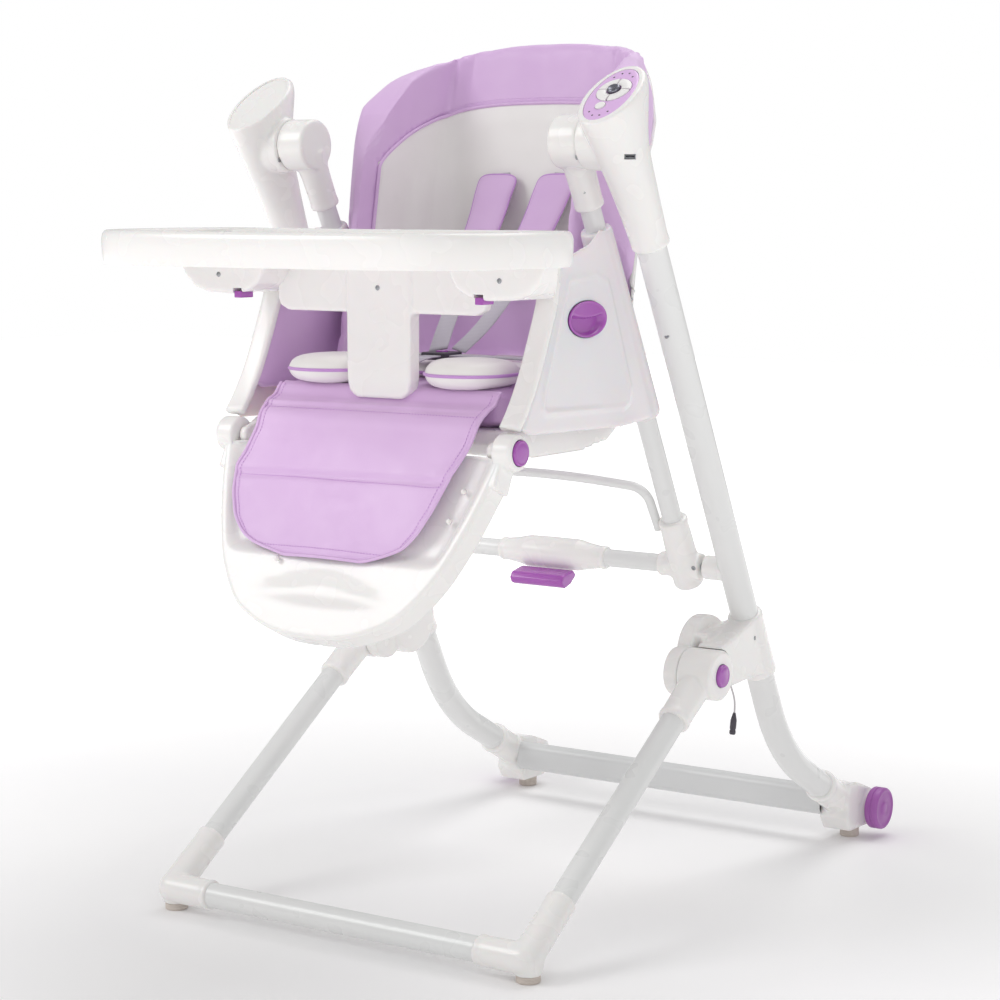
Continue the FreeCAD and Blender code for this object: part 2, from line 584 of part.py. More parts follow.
def stopBarPath():
    """Round bar that arches between the two brackets, just in front of the swing tubes' plane."""
    def point(x, z):
        return (x, lineY(z) - 4, z)
    return bentPath([point(-172, 452), point(-168, 505), point(0, 520), point(168, 505), point(172, 452)],
                    [24, 1200, 24])


# ---------------------------------------------------------------- seat
# Front edge of the seat's sides, from the armrest down to the footrest's pivot
rimFront = [(-203, 788), (-206, 765), (-211, 740), (-228, 700), (-248, 658), (-268, 626), (-287, 604)]


def rimBack(depth):
    return [(y + depth, z) for y, z in rimFront]


def makeSeat():
    rearLine = [(lineY(z) + 6, z) for z in (598, 824)]
    side = prismX("SidePlate", [*rimBack(10.0)[:-1], (-272, 602), (-258, 594), (-60, 588), (-8, 594), *rearLine,
                                (lineY(822) - 14, 824), (-130, 806), (-160, 797)],
                  size("sideInner"), size("sideInner") + size("sideWall"))
    sleeve = onLine("SeatSleeve", "Sizes.seatSleeveRadius", "Sizes.swingSpan", "Sizes.seatSleeveFoot",
                    "Sizes.seatSleeveTop")
    pin = alongX("ReclinePin", "Sizes.reclinePinRadius", "158", "Sizes.swingSpan - 14",
                 lineY(size("reclineZ")), size("reclineZ"))
    bore = onLine("SeatSleeveBore", "Sizes.sleeveBore", "Sizes.swingSpan", "560", "860")
    pair("seat_sides", cut("SeatSide", fuse("SeatSideBody", [side, sleeve, pin]), bore))

    strip = prismX("SeatRim", [*rimFront, *reversed(rimBack(9.6))], size("rimInner"), size("rimOuter"))
    pair("seat_rims", strip)

    outline = [(-262, 602.5), (-262, 584), (-250, 570), (-200, 562), (-110, 563), (-50, 573), (-26, 588), (-24, 602.5)]
    under = [(-258, 598), (-258, 585), (-248, 560), (-200, 550), (-110, 550), (-50, 560), (-32, 586), (-30, 598)]
    base = prismX("BaseOuter", outline, -size("baseHalf"), size("baseHalf"))
    hollow = prismX("BaseHollow", under, 4 - size("baseHalf"), size("baseHalf") - 4)
    ribs = [box(f"BaseRib{x}", (x - 1.5, -255, 574), (x + 1.5, -60, 598.5)) for x in (-90, 0, 90)]
    lug = alongX("BaseLug", "11", "-Sizes.baseHalf", "Sizes.baseHalf", size("footrestY"), size("footrestZ"))
    lugCut = box("BaseLugCut", (-172, -320, 550), (172, -240, 592))
    lugs = cut("BaseLugs", lug, lugCut)
    tie = [prismX(f"BaseTie{s}", [(-280, 590), (-258, 600), (-258, 585), (-272, 572)],
                  s * 178 - 6, s * 178 + 6) for s in (-1, 1)]
    node("seat_base", fuse("SeatBase", [cut("BaseShell", base, hollow), *ribs, lugs, *tie]))

    cushion = box("CushionBlock", (-size("cushionHalf"), -248, size("cushionFoot")),
                  (size("cushionHalf"), -12, size("cushionTop")))
    rounded = doc.addObject("Part::Fillet", "Cushion")
    rounded.Base = cushion
    doc.recompute()
    rounded.Edges = [(i + 1, 14.0, 14.0) for i, e in enumerate(cushion.Shape.Edges) if e.CenterOfMass.z > 620]
    node("seat_cushion", rounded)

    insert = padBody("Insert", "XY_Plane",
                     outlineSketch([(-140, -252), (-74, -262), (-44, -242), (44, -242), (74, -262), (140, -252), (146, -180),
                                    (138, -60), (80, -34), (-80, -34), (-138, -60), (-146, -180)]),
                     "Sizes.insertTop - Sizes.cushionTop - 0.3", "Sizes.cushionTop + 0.3")
    node("insert_cushion", insert)

    top = size("insertTop") + 0.2
    buckle = box("Buckle", (-19, -150, top), (19, -112, top + 11))
    straps = [box(f"LapStrap{side}", (min(side * 19.2, side * 130), -143, top),
                  (max(side * 19.2, side * 130), -118, top + 2.2)) for side in (-1, 1)]
    crotch = box("CrotchStrap", (-12.5, -215, top), (12.5, -150.2, top + 2.2))
    group("harness", [buckle, *straps, crotch])


def makeHeightLevers():
    """Oval cups in the seat's sides that are pulled up to change the seat's height."""
    centre = Vector(size("sideInner") + size("sideWall") + 0.3, -140, 722)
    outline = oval(centre, Vector(1, 0, 0), Vector(0, 1, 0), 40, 21)
    bothSides("height_lever", feature("HeightLever", Part.Face(outline).extrude(Vector(4, 0, 0))))


# ---------------------------------------------------------------- backrest
def leaned(x, y, z):
    """A point of the backrest's plan, moved back with height as the backrest leans."""
    return (x, y - 45 + (z - size("backFoot")) * size("backLean"), z)


def leanedPrism(outline, low, high):
    face = Part.Face(wire([leaned(x, y, low) for x, y in outline]))
    return face.extrude(Vector(0, (high - low) * size("backLean"), high - low))


def mirrorOutline(half):
    """Closes a half outline, given from one side to the middle, across x = 0."""
    return half + [(-x, y) for x, y in reversed(half) if x]


def backFront(inset, top):
    """The backrest's outline seen from the front, as a prism along Y."""
    w = 207 - inset
    z = top - inset
    y = -300
    edges = [Part.LineSegment(Vector(-w, y, 600), Vector(-w, y, z - 130)).toShape(),
             Part.Arc(Vector(-w, y, z - 130), Vector(-w + 18, y, z - 56), Vector(-w + 62, y, z - 15)).toShape(),
             Part.Arc(Vector(-w + 62, y, z - 15), Vector(0, y, z), Vector(w - 62, y, z - 15)).toShape(),
             Part.Arc(Vector(w - 62, y, z - 15), Vector(w - 18, y, z - 56), Vector(w, y, z - 130)).toShape(),
             Part.LineSegment(Vector(w, y, z - 130), Vector(w, y, 600)).toShape(),
             Part.LineSegment(Vector(w, y, 600), Vector(-w, y, 600)).toShape()]
    return Part.Face(Part.Wire(edges)).extrude(Vector(0, 600, 0))


def tubeClearance():
    """The space of the swing tubes and seat sleeves, in front of which the wings stay narrow."""
    gap = 27
    outline = [(lineY(590) + gap, 590), (lineY(1100) + gap, 1100), (-400, 1100), (-400, 590)]
    shapes = []
    for side in (-1, 1):
        face = Part.Face(wire([(side * 168, y, z) for y, z in outline]))
        shapes.append(face.extrude(Vector(side * 100, 0, 0)))
    return shapes


def makeBackrest():
    low, high, pinY = size("backFoot"), size("backTop"), lineY(size("reclineZ"))
    padOuter = mirrorOutline([(-163, -90), (-176, -74), (-205, -30), (-200, 38), (-160, 82), (-90, 96), (0, 98)])
    padInner = mirrorOutline([(-151, -95), (-147, 58), (-110, 70), (0, 74)])
    pad = leanedPrism(padOuter, low, high).cut(leanedPrism(padInner, low - 5, high + 5))
    pad = pad.common(backFront(0, high))
    for space in tubeClearance():
        pad = pad.cut(space)
    node("backrest_pad", feature("BackPad", pad))

    shellOuter = mirrorOutline([(-206, -8), (-204, 41), (-163, 87), (-91, 101), (0, 103)])
    shellInner = mirrorOutline([(-206, -12), (-200.5, 38.5), (-160.3, 82.4), (-90, 96.4), (0, 98.4)])
    shell = leanedPrism(shellOuter, low - 12, high - 22)
    shell = shell.cut(leanedPrism(shellInner, low - 20, high))
    shell = shell.common(backFront(6, high - 12))
    for space in tubeClearance():
        shell = shell.cut(space)
    arms = []
    for side in (-1, 1):
        x = side * 164
        arm = Part.Face(wire([(x - 6, pinY - 9, 612), (x - 6, pinY + 10, 610), (x - 6, 54, 644), (x - 6, 54, 664),
                              (x - 6, 34, 648), (x - 6, pinY - 7, 628)])).extrude(Vector(12, 0, 0))
        eye = Part.makeCylinder(11, 12, Vector(x - 6, pinY, size("reclineZ")), Vector(1, 0, 0))
        hole = Part.makeCylinder(size("reclinePinRadius") + 0.08, 30, Vector(x - 15, pinY, size("reclineZ")),
                                 Vector(1, 0, 0))
        arms.append(arm.fuse(eye).cut(hole))
    shell = shell.fuse(arms)
    node("backrest_shell", feature("BackShell", shell))

    pads = []
    for side in (-1, 1):
        block = Part.makeBox(40, 9, 105, Vector(side * 45 - 20, -9, 0))
        block = block.makeFillet(3.5, [e for e in block.Edges if abs(e.tangentAt(e.FirstParameter).z) > 0.9])
        block.Placement = Placement(Vector(*leaned(0, 70.8, 775)), Rotation(Vector(1, 0, 0), -10.2))
        pads.append(feature(f"ShoulderPad{side}", block))
    group("shoulder_pads", pads)

    handle = padBody("ReclineHandle", "XZ_Plane",
                     outlineSketch([(-48, 838), (48, 838), (40, 806), (20, 800), (-20, 800), (-40, 806)]),
                     "11", "-112")
    node("recline_lever", handle)


# ---------------------------------------------------------------- footrest
footrestPlace = Placement(Vector(0, size("footrestY"), size("footrestZ")),
                          Rotation(Vector(1, 0, 0), -size("footrestLean")))


def footrestOutline(inset, top, bottom):
    """Tapering outline of the footrest in its own plane, where z runs down from the pivot."""
    low = -size("footrestLength") + bottom
    half = [(200 - inset, -top), (188 - inset, -62), (172 - inset, -110), (150 - inset, -165),
            (118 - inset * 0.8, low + 36), (66, low + 9)]
    right = [Vector(x, 0, z) for x, z in half]
    left = [Vector(-x, 0, z) for x, z in reversed(half)]
    curve = Part.BSplineCurve()
    curve.interpolate([*right, Vector(0, 0, low), *left])
    top = Part.LineSegment(left[-1], right[0]).toShape()
    return Part.Face(Part.Wire([curve.toShape(), top]))


def makeFootrest():
    body = footrestOutline(0, 22, 0)
    body.translate(Vector(0, -12, 0))
    body = body.extrude(Vector(0, 32, 0))
    front = footrestOutline(13, 24, 112)
    front.translate(Vector(0, -13, 0))
    body = body.cut(front.extrude(Vector(0, 25, 0)))
    back = footrestOutline(4, 26, 5)
    back.translate(Vector(0, 16, 0))
    body = body.cut(back.extrude(Vector(0, 10, 0)))
    hollow = footrestOutline(24, 146, 16)
    hollow.translate(Vector(0, -4, 0))
    body = body.cut(hollow.extrude(Vector(0, 30, 0)))
    for side in (-1, 1):
        lobe = Part.makeCylinder(size("lobeRadius"), 26, Vector(side * 186, 0, 0), Vector(side, 0, 0))
        neck = Part.makeBox(12, 26, 26, Vector(min(side * 187, side * 199), -11, -34))
        pin = Part.makeCylinder(6.1, 60, Vector(side * 170, 0, 0), Vector(side, 0, 0))
        well = Part.makeCylinder(size("footrestButtonRadius") + 0.3, 9, Vector(side * 205, 0, 0), Vector(side, 0, 0))
        body = body.fuse([lobe, neck]).cut(pin).cut(well)
    body.Placement = footrestPlace
    node("footrest_shell", feature("Footrest", body))

    apron = footrestOutline(24, 27, 78)
    apron.translate(Vector(0, -17, 0))
    apron = apron.extrude(Vector(0, 3.5, 0))
    apron.Placement = footrestPlace
    node("footrest_apron", feature("Apron", apron))
    button = alongX("FootrestButton", "Sizes.footrestButtonRadius", "209", "215.5",
                    size("footrestY"), size("footrestZ"))
    bothSides("footrest_button", button)


# ---------------------------------------------------------------- tray
def trayOutline(inset, z):
    """The tray seen from above: a bowed front, rounded corners and a shallow curve for the child's belly."""
    w, front, rear = size("trayHalf") - inset, size("trayFront") + inset, size("trayRear") - inset
    half = [(0, front), (120, front + 6), (205, front + 26), (252, front + 72), (w, front + 150),
            (w - 4, rear - 48), (w - 26, rear - 8), (w - 58, rear), (120, rear - 18)]
    half = [(min(x, w), y) for x, y in half]
    right = [(x, y, z) for x, y in half]
    left = [(-x, y, z) for x, y in reversed(half[1:])]
    return Part.Face(smoothWire([*right, (0, rear - 26, z), *left]))


def makeTray():
    foot, top = size("trayFoot"), size("trayTop")
    deck = top - 14
    body = trayOutline(0, foot).extrude(Vector(0, 0, top - foot))
    body = body.cut(trayOutline(12, deck).extrude(Vector(0, 0, 40)))
    body = body.cut(trayOutline(4, foot - 5).extrude(Vector(0, 0, deck - 3.2 - foot + 5)))
    cupX, cupY = -198, -385
    body = body.fuse(Part.makeCylinder(37, 16, Vector(cupX, cupY, deck - 13)))
    body = body.cut(Part.makeCylinder(34.5, 60, Vector(cupX, cupY, deck - 10)))
    node("tray_top", feature("TrayTop", body))

    pod = padBody("Pod", "XZ_Plane",
                  outlineSketch([(134, 784.7), (140, 764), (158, 751), (184, 747.5), (262, 747.5), (264, 784.7)]),
                  "90", "215")
    tongue = box("PodTongue", (170, -230, 755), (183.6, -150, 775))
    well = box("PodButtonWell", (158.5, -304, 730), (185.5, -278, 756))
    pair("tray_pods", cut("PodBody", fuse("PodSolid", [pod, tongue]), well))
    button = box("TrayButton", (160, -302.5, 743), (184, -279.5, 751))
    bothSides("tray_button", button)

    y, half = size("postY"), size("postHalf")
    plate = prismOutlineY("PostPlate", [(-132, 784.7), (-132, 740), (-118, 727), (118, 727), (132, 740),
                                        (132, 784.7)], y - 10, y + 10)
    post = prismOutlineY("PostShaft", [(-half, 730), (-half, 646), (-half + 14, 630), (-half + 30, size("postFoot")),
                                       (half - 30, size("postFoot")), (half - 14, 630), (half, 646), (half, 730)],
                         y - 9, y + 9)
    node("tray_post", fuse("TrayPost", [plate, post]))


def prismOutlineY(name, outline, start, end):
    """A plate with an (x, z) outline, from y = start to y = end."""
    face = Part.Face(wire([(x, start, z) for x, z in outline]))
    return feature(name, face.extrude(Vector(0, end - start, 0)))


# ---------------------------------------------------------------- control cord and fasteners
cordRoute = [(250, 128, 270), (250, 131, 262), (250.5, 138, 251), (251, 143.5, 239), (251, 145.5, 228),
             (250.5, 145.0, 220)]


def makeCord():
    exit = Vector(*cordRoute[0])
    gland = Part.makeCylinder(3.4, 8, exit + Vector(0, 0, 6), Vector(0, 0, -1))
    gland = gland.cut(Part.makeCylinder(size("cordRadius") + 0.02, 6.0, exit, Vector(0, 0, -1)))
    node("cord_gland", feature("Gland", gland))
    points = [Vector(*p) for p in cordRoute]
    radii = []
    for i in range(1, len(points) - 1):
        back, ahead = points[i - 1] - points[i], points[i + 1] - points[i]
        halfTurn = (math.pi - back.getAngle(ahead)) / 2
        radii.append(0.45 * min(back.Length, ahead.Length) / math.tan(halfTurn))
    path = bentPath(cordRoute, radii)
    cord = pipe(path, size("cordRadius"))
    expected = math.pi * size("cordRadius") ** 2 * path.Length
    print(f"cord length {path.Length:.1f} mm, arc radii {[round(r, 1) for r in radii]}, "
          f"volume {cord.Volume / expected:.4f} of section times length")
    node("power_cord", feature("Cord", cord))
    end = points[-1]
    way = (points[-1] - points[-2]).normalize()
    shank = Part.makeCone(2.0, size("connectorRadius"), 8, end, way)
    barrel = Part.makeCylinder(size("connectorRadius"), 20, end + way * 8, way)
    node("cord_connector", feature("Connector", shank.fuse(barrel)))


def makeFasteners():
    """Screw heads of the hinge housings and the sprung snap buttons of the curved legs."""
    x = size("legSpan")
    heads = [cylinder(f"HousingScrew{i}", "3.6", "3", (x + 17.7, y, z), (1, 0, 0))
             for i, (y, z) in enumerate([(142, 318), (170, 288)])]
    group("frame_fasteners", heads + [mirrored(f"{head.Name}Left", head) for head in heads])


# ---------------------------------------------------------------- build, check and write
legEnd = makeLegs()
makeRearEnds(legEnd)
makeRearTube()
makeRearFeetAndWheels()
makePins()
makeHingeHousings()
makeLockStubs()
makeHeads()
makePanel()
makeElectronics()
makeFrontLegs()
makeSwing()
makeSeat()
makeHeightLevers()
makeBackrest()
makeFootrest()
makeTray()
makeCord()
makeFasteners()
doc.recompute()

for item in doc.Objects:
    if "Invalid" in item.State or "Error" in item.State:
        raise RuntimeError(f"{item.Name} ({item.Label}) is {item.State}")
for item in nodes:
    shape = item.Shape
    if shape.isNull() or not shape.isValid() or not shape.Solids:
        raise RuntimeError(f"{item.Label} has no valid solid")

os.makedirs("parts", exist_ok=True)
for item in nodes:
    item.Shape.exportStep(f"parts/{item.Label}.step")
    bounds = item.Shape.BoundBox
    print(f"{item.Label:24s} solids {len(item.Shape.Solids)}  volume {item.Shape.Volume / 1000:8.1f} cm3  "
          f"z {bounds.ZMin:7.1f} {bounds.ZMax:7.1f}")
print(len(nodes), "nodes")
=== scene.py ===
import math

import bmesh
import bpy
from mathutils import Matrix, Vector
from mathutils.bvhtree import BVHTree
from mathutils.kdtree import KDTree


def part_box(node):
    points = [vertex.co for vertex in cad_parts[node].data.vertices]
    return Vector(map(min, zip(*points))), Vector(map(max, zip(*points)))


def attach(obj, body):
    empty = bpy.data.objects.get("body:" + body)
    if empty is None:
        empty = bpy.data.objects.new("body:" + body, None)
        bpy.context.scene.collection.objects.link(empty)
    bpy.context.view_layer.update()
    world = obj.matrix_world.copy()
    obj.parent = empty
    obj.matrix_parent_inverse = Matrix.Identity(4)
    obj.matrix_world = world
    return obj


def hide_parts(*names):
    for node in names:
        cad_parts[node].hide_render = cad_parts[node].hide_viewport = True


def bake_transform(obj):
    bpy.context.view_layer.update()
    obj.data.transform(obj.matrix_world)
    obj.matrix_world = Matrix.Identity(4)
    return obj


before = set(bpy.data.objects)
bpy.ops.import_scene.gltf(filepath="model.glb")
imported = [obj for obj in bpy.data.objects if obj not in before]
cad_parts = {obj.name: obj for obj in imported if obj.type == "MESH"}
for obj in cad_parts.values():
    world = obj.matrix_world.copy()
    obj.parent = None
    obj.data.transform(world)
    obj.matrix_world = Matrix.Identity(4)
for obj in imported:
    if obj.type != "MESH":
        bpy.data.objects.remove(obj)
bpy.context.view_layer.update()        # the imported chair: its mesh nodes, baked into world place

# Swinging baby high chair. Shapes are written in millimetres and become metres in addMesh.
millimetre = 0.001
print("stage: frame loaded")

# camera, lamps and floor
view = {"place": (1.751, -2.580, 0.866), "turn": 34.245, "down": 6.961, "lens": 90.76, "sensor": 36.0}
lamps = {
    "keyLight": {"place": (-2.6, -3.0, 3.2), "size": 2.4, "power": 60.0},
    "sideLight": {"place": (3.4, -2.2, 2.0), "size": 2.2, "power": 15.0},
    "topLight": {"place": (0.2, 1.4, 3.6), "size": 2.8, "power": 46.0},
}


def addCamera():
    camera = bpy.data.cameras.new("viewCamera")
    camera.lens, camera.sensor_width, camera.clip_end = view["lens"], view["sensor"], 60.0
    holder = bpy.data.objects.new("viewCamera", camera)
    holder.location = view["place"]
    holder.rotation_euler = (math.radians(90 - view["down"]), 0, math.radians(view["turn"]))
    bpy.context.collection.objects.link(holder)
    bpy.context.scene.camera = holder


def addLights():
    for name, lamp in lamps.items():
        light = bpy.data.lights.new(name, "AREA")
        light.shape, light.size, light.energy = "DISK", lamp["size"], lamp["power"]
        holder = bpy.data.objects.new(name, light)
        holder.location = lamp["place"]
        aim = Vector((0, 0, 0.55)) - holder.location
        holder.rotation_euler = aim.to_track_quat("-Z", "Y").to_euler()
        bpy.context.collection.objects.link(holder)
    world = bpy.data.worlds.new("studio")
    world.use_nodes = True
    sky = world.node_tree.nodes["Background"]
    sky.inputs["Color"].default_value = (1, 1, 1, 1)
    rays = addNode(world.node_tree, "ShaderNodeLightPath")
    glow = addNode(world.node_tree, "ShaderNodeMapRange", [("Value", rays.outputs["Is Camera Ray"])],
                   [("To Min", 0.47), ("To Max", 1.0)])
    world.node_tree.links.new(glow.outputs["Result"], sky.inputs["Strength"])
    bpy.context.scene.world = world
    bpy.context.scene.view_settings.view_transform = "Standard"


addCamera()


# material kit
def colour(code):
    parts = [int(code[i:i + 2], 16) / 255 for i in (1, 3, 5)]
    return (*[p / 12.92 if p <= 0.04045 else ((p + 0.055) / 1.055) ** 2.4 for p in parts], 1.0)


def addNode(tree, kind, links=(), values=(), **settings):
    node = tree.nodes.new(kind)
    for key, value in settings.items():
        setattr(node, key, value)
    for socket, value in values:
        node.inputs[socket].default_value = value
    for socket, source in links:
        tree.links.new(source, node.inputs[socket])
    return node


def newMaterial(name, shader):
    material = bpy.data.materials.new(name)
    material.use_nodes = True
    tree = material.node_tree
    tree.nodes.clear()
    surface = addNode(tree, "ShaderNodeBsdfPrincipled", values=list(shader.items()))
    addNode(tree, "ShaderNodeOutputMaterial", [("Surface", surface.outputs["BSDF"])])
    place = addNode(tree, "ShaderNodeTexCoord").outputs["Object"]
    return material, tree, surface, place


def noiseAt(tree, place, size, detail=3.0):        # size in millimetres
    scale = 1 / (size * millimetre)
    return addNode(tree, "ShaderNodeTexNoise", [("Vector", place)],
                   [("Scale", scale), ("Detail", detail)]).outputs["Fac"]


def tintBy(tree, surface, fac, tint, shade):
    ramp = addNode(tree, "ShaderNodeValToRGB", [("Fac", fac)])
    ramp.color_ramp.elements[0].position, ramp.color_ramp.elements[1].position = 0.3, 0.7
    ramp.color_ramp.elements[0].color, ramp.color_ramp.elements[1].color = colour(tint), colour(shade)
    tree.links.new(ramp.outputs["Color"], surface.inputs["Base Color"])


def glossBy(tree, surface, fac, low, high):
    spread = addNode(tree, "ShaderNodeMapRange", [("Value", fac)],
                     [("From Min", 0.3), ("From Max", 0.7), ("To Min", low), ("To Max", high)])
    tree.links.new(spread.outputs["Result"], surface.inputs["Roughness"])


def bumpFrom(tree, surface, heights):        # heights: (socket, depth in millimetres, strength), finest last
    normal = None
    for height, depth, strength in heights:
        links = [("Height", height)] + ([("Normal", normal)] if normal else [])
        normal = addNode(tree, "ShaderNodeBump", links,
                         [("Distance", depth * millimetre), ("Strength", strength)]).outputs["Normal"]
    tree.links.new(normal, surface.inputs["Normal"])


def moulded(name, tint, shade, gloss, grain, depth, **shader):
    material, tree, surface, place = newMaterial(name, {k.replace("_", " "): v for k, v in shader.items()})
    tintBy(tree, surface, noiseAt(tree, place, 140, 1.0), tint, shade)
    glossBy(tree, surface, noiseAt(tree, place, 35, 1.0), *gloss)
    bumpFrom(tree, surface, [(noiseAt(tree, place, grain, 1.0), depth, 0.12)])
    return material


def leatherette(name, tint, shade):
    # polyurethane-coated cloth: pebbled grain about 1.2 mm across, satin with a faint sheen, soft pull wrinkles
    material, tree, surface, place = newMaterial(name, {"Specular IOR Level": 0.42, "Sheen Weight": 0.12,
                                                        "Sheen Roughness": 0.4, "IOR": 1.48})
    tintBy(tree, surface, noiseAt(tree, place, 90, 2.0), tint, shade)
    glossBy(tree, surface, noiseAt(tree, place, 14), 0.36, 0.5)
    pebble = addNode(tree, "ShaderNodeTexVoronoi", [("Vector", place)], [("Scale", 1 / (1.3 * millimetre))])
    bumpFrom(tree, surface, [(noiseAt(tree, place, 48, 1.5), 2.0, 0.28),
                             (noiseAt(tree, place, 12, 2.0), 0.4, 0.15),
                             (pebble.outputs["Distance"], 0.1, 0.22)])
    return material


def woven(name, tint, shade, pitch):
    # polyester webbing: plain weave, ribs one pitch apart both ways, drawn slightly coarse so that it shows
    material, tree, surface, place = newMaterial(name, {"Sheen Weight": 0.2, "IOR": 1.5})
    ribs = []
    for way in ("X", "Z"):
        ribs.append(addNode(tree, "ShaderNodeTexWave", [("Vector", place)],
                            [("Scale", 1 / (pitch * millimetre) / 3.1), ("Distortion", 0.4)],
                            bands_direction=way).outputs["Fac"])
    weave = addNode(tree, "ShaderNodeMath", [(0, ribs[0]), (1, ribs[1])], operation="MULTIPLY").outputs["Value"]
    tintBy(tree, surface, weave, shade, tint)
    glossBy(tree, surface, weave, 0.75, 0.55)
    bumpFrom(tree, surface, [(weave, 0.3, 0.6)])
    return material


def metal(name, tint, shade, gloss, stretch):
    # bare steel or plated metal: brushed lines along one way, default IOR
    material, tree, surface, place = newMaterial(name, {"Metallic": 1.0})
    lines = addNode(tree, "ShaderNodeMapping", [("Vector", place)], [("Scale", stretch)])
    brushed = noiseAt(tree, lines.outputs["Vector"], 1.2)
    tintBy(tree, surface, brushed, tint, shade)
    glossBy(tree, surface, brushed, *gloss)
    bumpFrom(tree, surface, [(brushed, 0.03, 0.3)])
    return material


addLights()

finishes = {
    # powder-coated steel tube: smooth orange peel about 1.5 mm across under a gloss film
    "tube_enamel": moulded("powderCoatWhite", "#EBEBEA", "#E9EAE9", (0.27, 0.29), 1.5, 0.035, Coat_Weight=0.35,
                           Coat_Roughness=0.12, IOR=1.5),
    # the same white coating made light grey for the rear cross tube: painted shade for the shadow the tube lies
    # in
    "grey_enamel": moulded("powderCoatShadePainted", "#DFE0E0", "#DADBDB", (0.28, 0.33), 1.5, 0.035, Coat_Weight=0.3,
                           Coat_Roughness=0.15, IOR=1.5),
    # injection-moulded polypropylene, polished mould: gloss, soft light under the skin
    "white_plastic": moulded("polypropyleneWhite", "#F7F5F3", "#F6F4F2", (0.26, 0.28), 0.9, 0.02,
                             Subsurface_Weight=0.08, Subsurface_Scale=0.004, Coat_Weight=0.2, IOR=1.49),
    # natural polypropylene of the tub: milky and slightly see-through
    "seat_plastic": moulded("polypropyleneMilky", "#EFEAED", "#EDE8EB", (0.22, 0.25), 1.2, 0.02,
                            Subsurface_Weight=0.3, Subsurface_Scale=0.01, Coat_Weight=0.3, IOR=1.49),
    # dyed polypropylene wheels
    "wheel_plastic": moulded("polypropyleneViolet", "#AC66B4", "#A55FAD", (0.3, 0.42), 0.9, 0.03, IOR=1.49),
    # dyed ABS buttons: deep gloss
    "purple_plastic": moulded("absViolet", "#AB57B6", "#A54FB0", (0.16, 0.26), 1.0, 0.02, Coat_Weight=0.35,
                              Subsurface_Weight=0.05, Subsurface_Scale=0.003, IOR=1.53),
    # printed polycarbonate face of the control panel
    "panel_plastic": moulded("polycarbonateLilac", "#E6BDEE", "#E2B7EB", (0.2, 0.28), 0.8, 0.015,
                             Coat_Weight=0.3, IOR=1.58),
    # silicone-soft ABS keys
    "key_plastic": moulded("absKeyWhite", "#F7F5F3", "#F1EFEE", (0.3, 0.4), 0.8, 0.02, IOR=1.53),
    "knob_metal": metal("anodisedAluminium", "#8F8F99", "#6F6F7A", (0.22, 0.36), (1, 1, 1)),
    "steel": metal("zincPlatedSteel", "#B9BBBE", "#96989C", (0.25, 0.4), (1, 8, 1)),
    "lilac_leatherette": leatherette("leatheretteLilac", "#E3C2EA", "#DEBAE6"),
    "purple_leatherette": leatherette("leatheretteViolet", "#CFA0DC", "#C794D6"),
    "white_leatherette": leatherette("leatheretteWhite", "#F7F6F2", "#F2F1ED"),
    "grey_webbing": woven("polyesterWebbing", "#D3D0D6", "#BEBAC4", 1.6),
    # thermoplastic rubber feet: matt, fine dust-catching grain
    "rubber": moulded("rubberCream", "#D9CFC6", "#CFC4BB", (0.6, 0.75), 0.7, 0.05, IOR=1.52),
    # glass-fibre board under green solder mask
    "board_laminate": moulded("solderMaskGreen", "#2F6B45", "#28603D", (0.3, 0.4), 2.0, 0.03, IOR=1.5),
    # soft vinyl jacket
    "cord_sheath": moulded("vinylGrey", "#C9C6C8", "#BDB9BC", (0.4, 0.5), 0.5, 0.02, IOR=1.53),
    "dark_plastic": moulded("absCharcoal", "#4B4650", "#423E47", (0.35, 0.45), 0.8, 0.03, IOR=1.53),
}
print("stage: finishes made")


# mesh kit
def addMesh(name, points, faces):
    mesh = bpy.data.meshes.new(name)
    mesh.from_pydata([tuple(Vector(p) * millimetre) for p in points], [], faces)
    shape = bmesh.new()
    shape.from_mesh(mesh)
    bmesh.ops.remove_doubles(shape, verts=shape.verts, dist=1e-6)
    bmesh.ops.recalc_face_normals(shape, faces=shape.faces)
    shape.to_mesh(mesh)
    shape.free()
    mesh.shade_smooth()
    piece = bpy.data.objects.new(name, mesh)
    bpy.context.collection.objects.link(piece)
    return piece


def oval(centre, across, along, sides=56):
    turns = [2 * math.pi * i / sides for i in range(sides)]
    return [Vector(centre) + Vector(along) * math.cos(t) + Vector(across) * math.sin(t) for t in turns]


def loft(rings, name="part", capped=True):
    sides = len(rings[0])
    points = [p for ring in rings for p in ring]
    faces = []
    for row in range(len(rings) - 1):
        a, b = row * sides, (row + 1) * sides
        faces += [(a + i, a + (i + 1) % sides, b + (i + 1) % sides, b + i) for i in range(sides)]
    if capped:
        for base, ring in ((0, rings[0]), ((len(rings) - 1) * sides, rings[-1])):
            points.append(sum((Vector(p) for p in ring), Vector()) / sides)
            faces += [(base + i, base + (i + 1) % sides, len(points) - 1) for i in range(sides)]
    return addMesh(name, points, faces)


def turned(profile, centre, axis, name="turned", sides=56):        # profile: (along the axis, radius)
    axis = Vector(axis).normalized()
    side = axis.orthogonal().normalized()
    rings = [oval(Vector(centre) + axis * s, axis.cross(side) * max(r, 0.02), side * max(r, 0.02), sides)
             for s, r in profile]
    return loft(rings, name)


def rod(start, end, radius, endRadius=None):
    start, end = Vector(start), Vector(end)
    return turned([(0, radius), ((end - start).length, radius if endRadius is None else endRadius)], start,
                  end - start, "rod", 40)


def slabX(outline, start, end):        # outline in (y, z)
    points = [(x, y, z) for x in (start, end) for y, z in outline]
    return slabFrom(points, len(outline))


def slabY(outline, start, end):        # outline in (x, z)
    points = [(x, y, z) for y in (start, end) for x, z in outline]
    return slabFrom(points, len(outline))


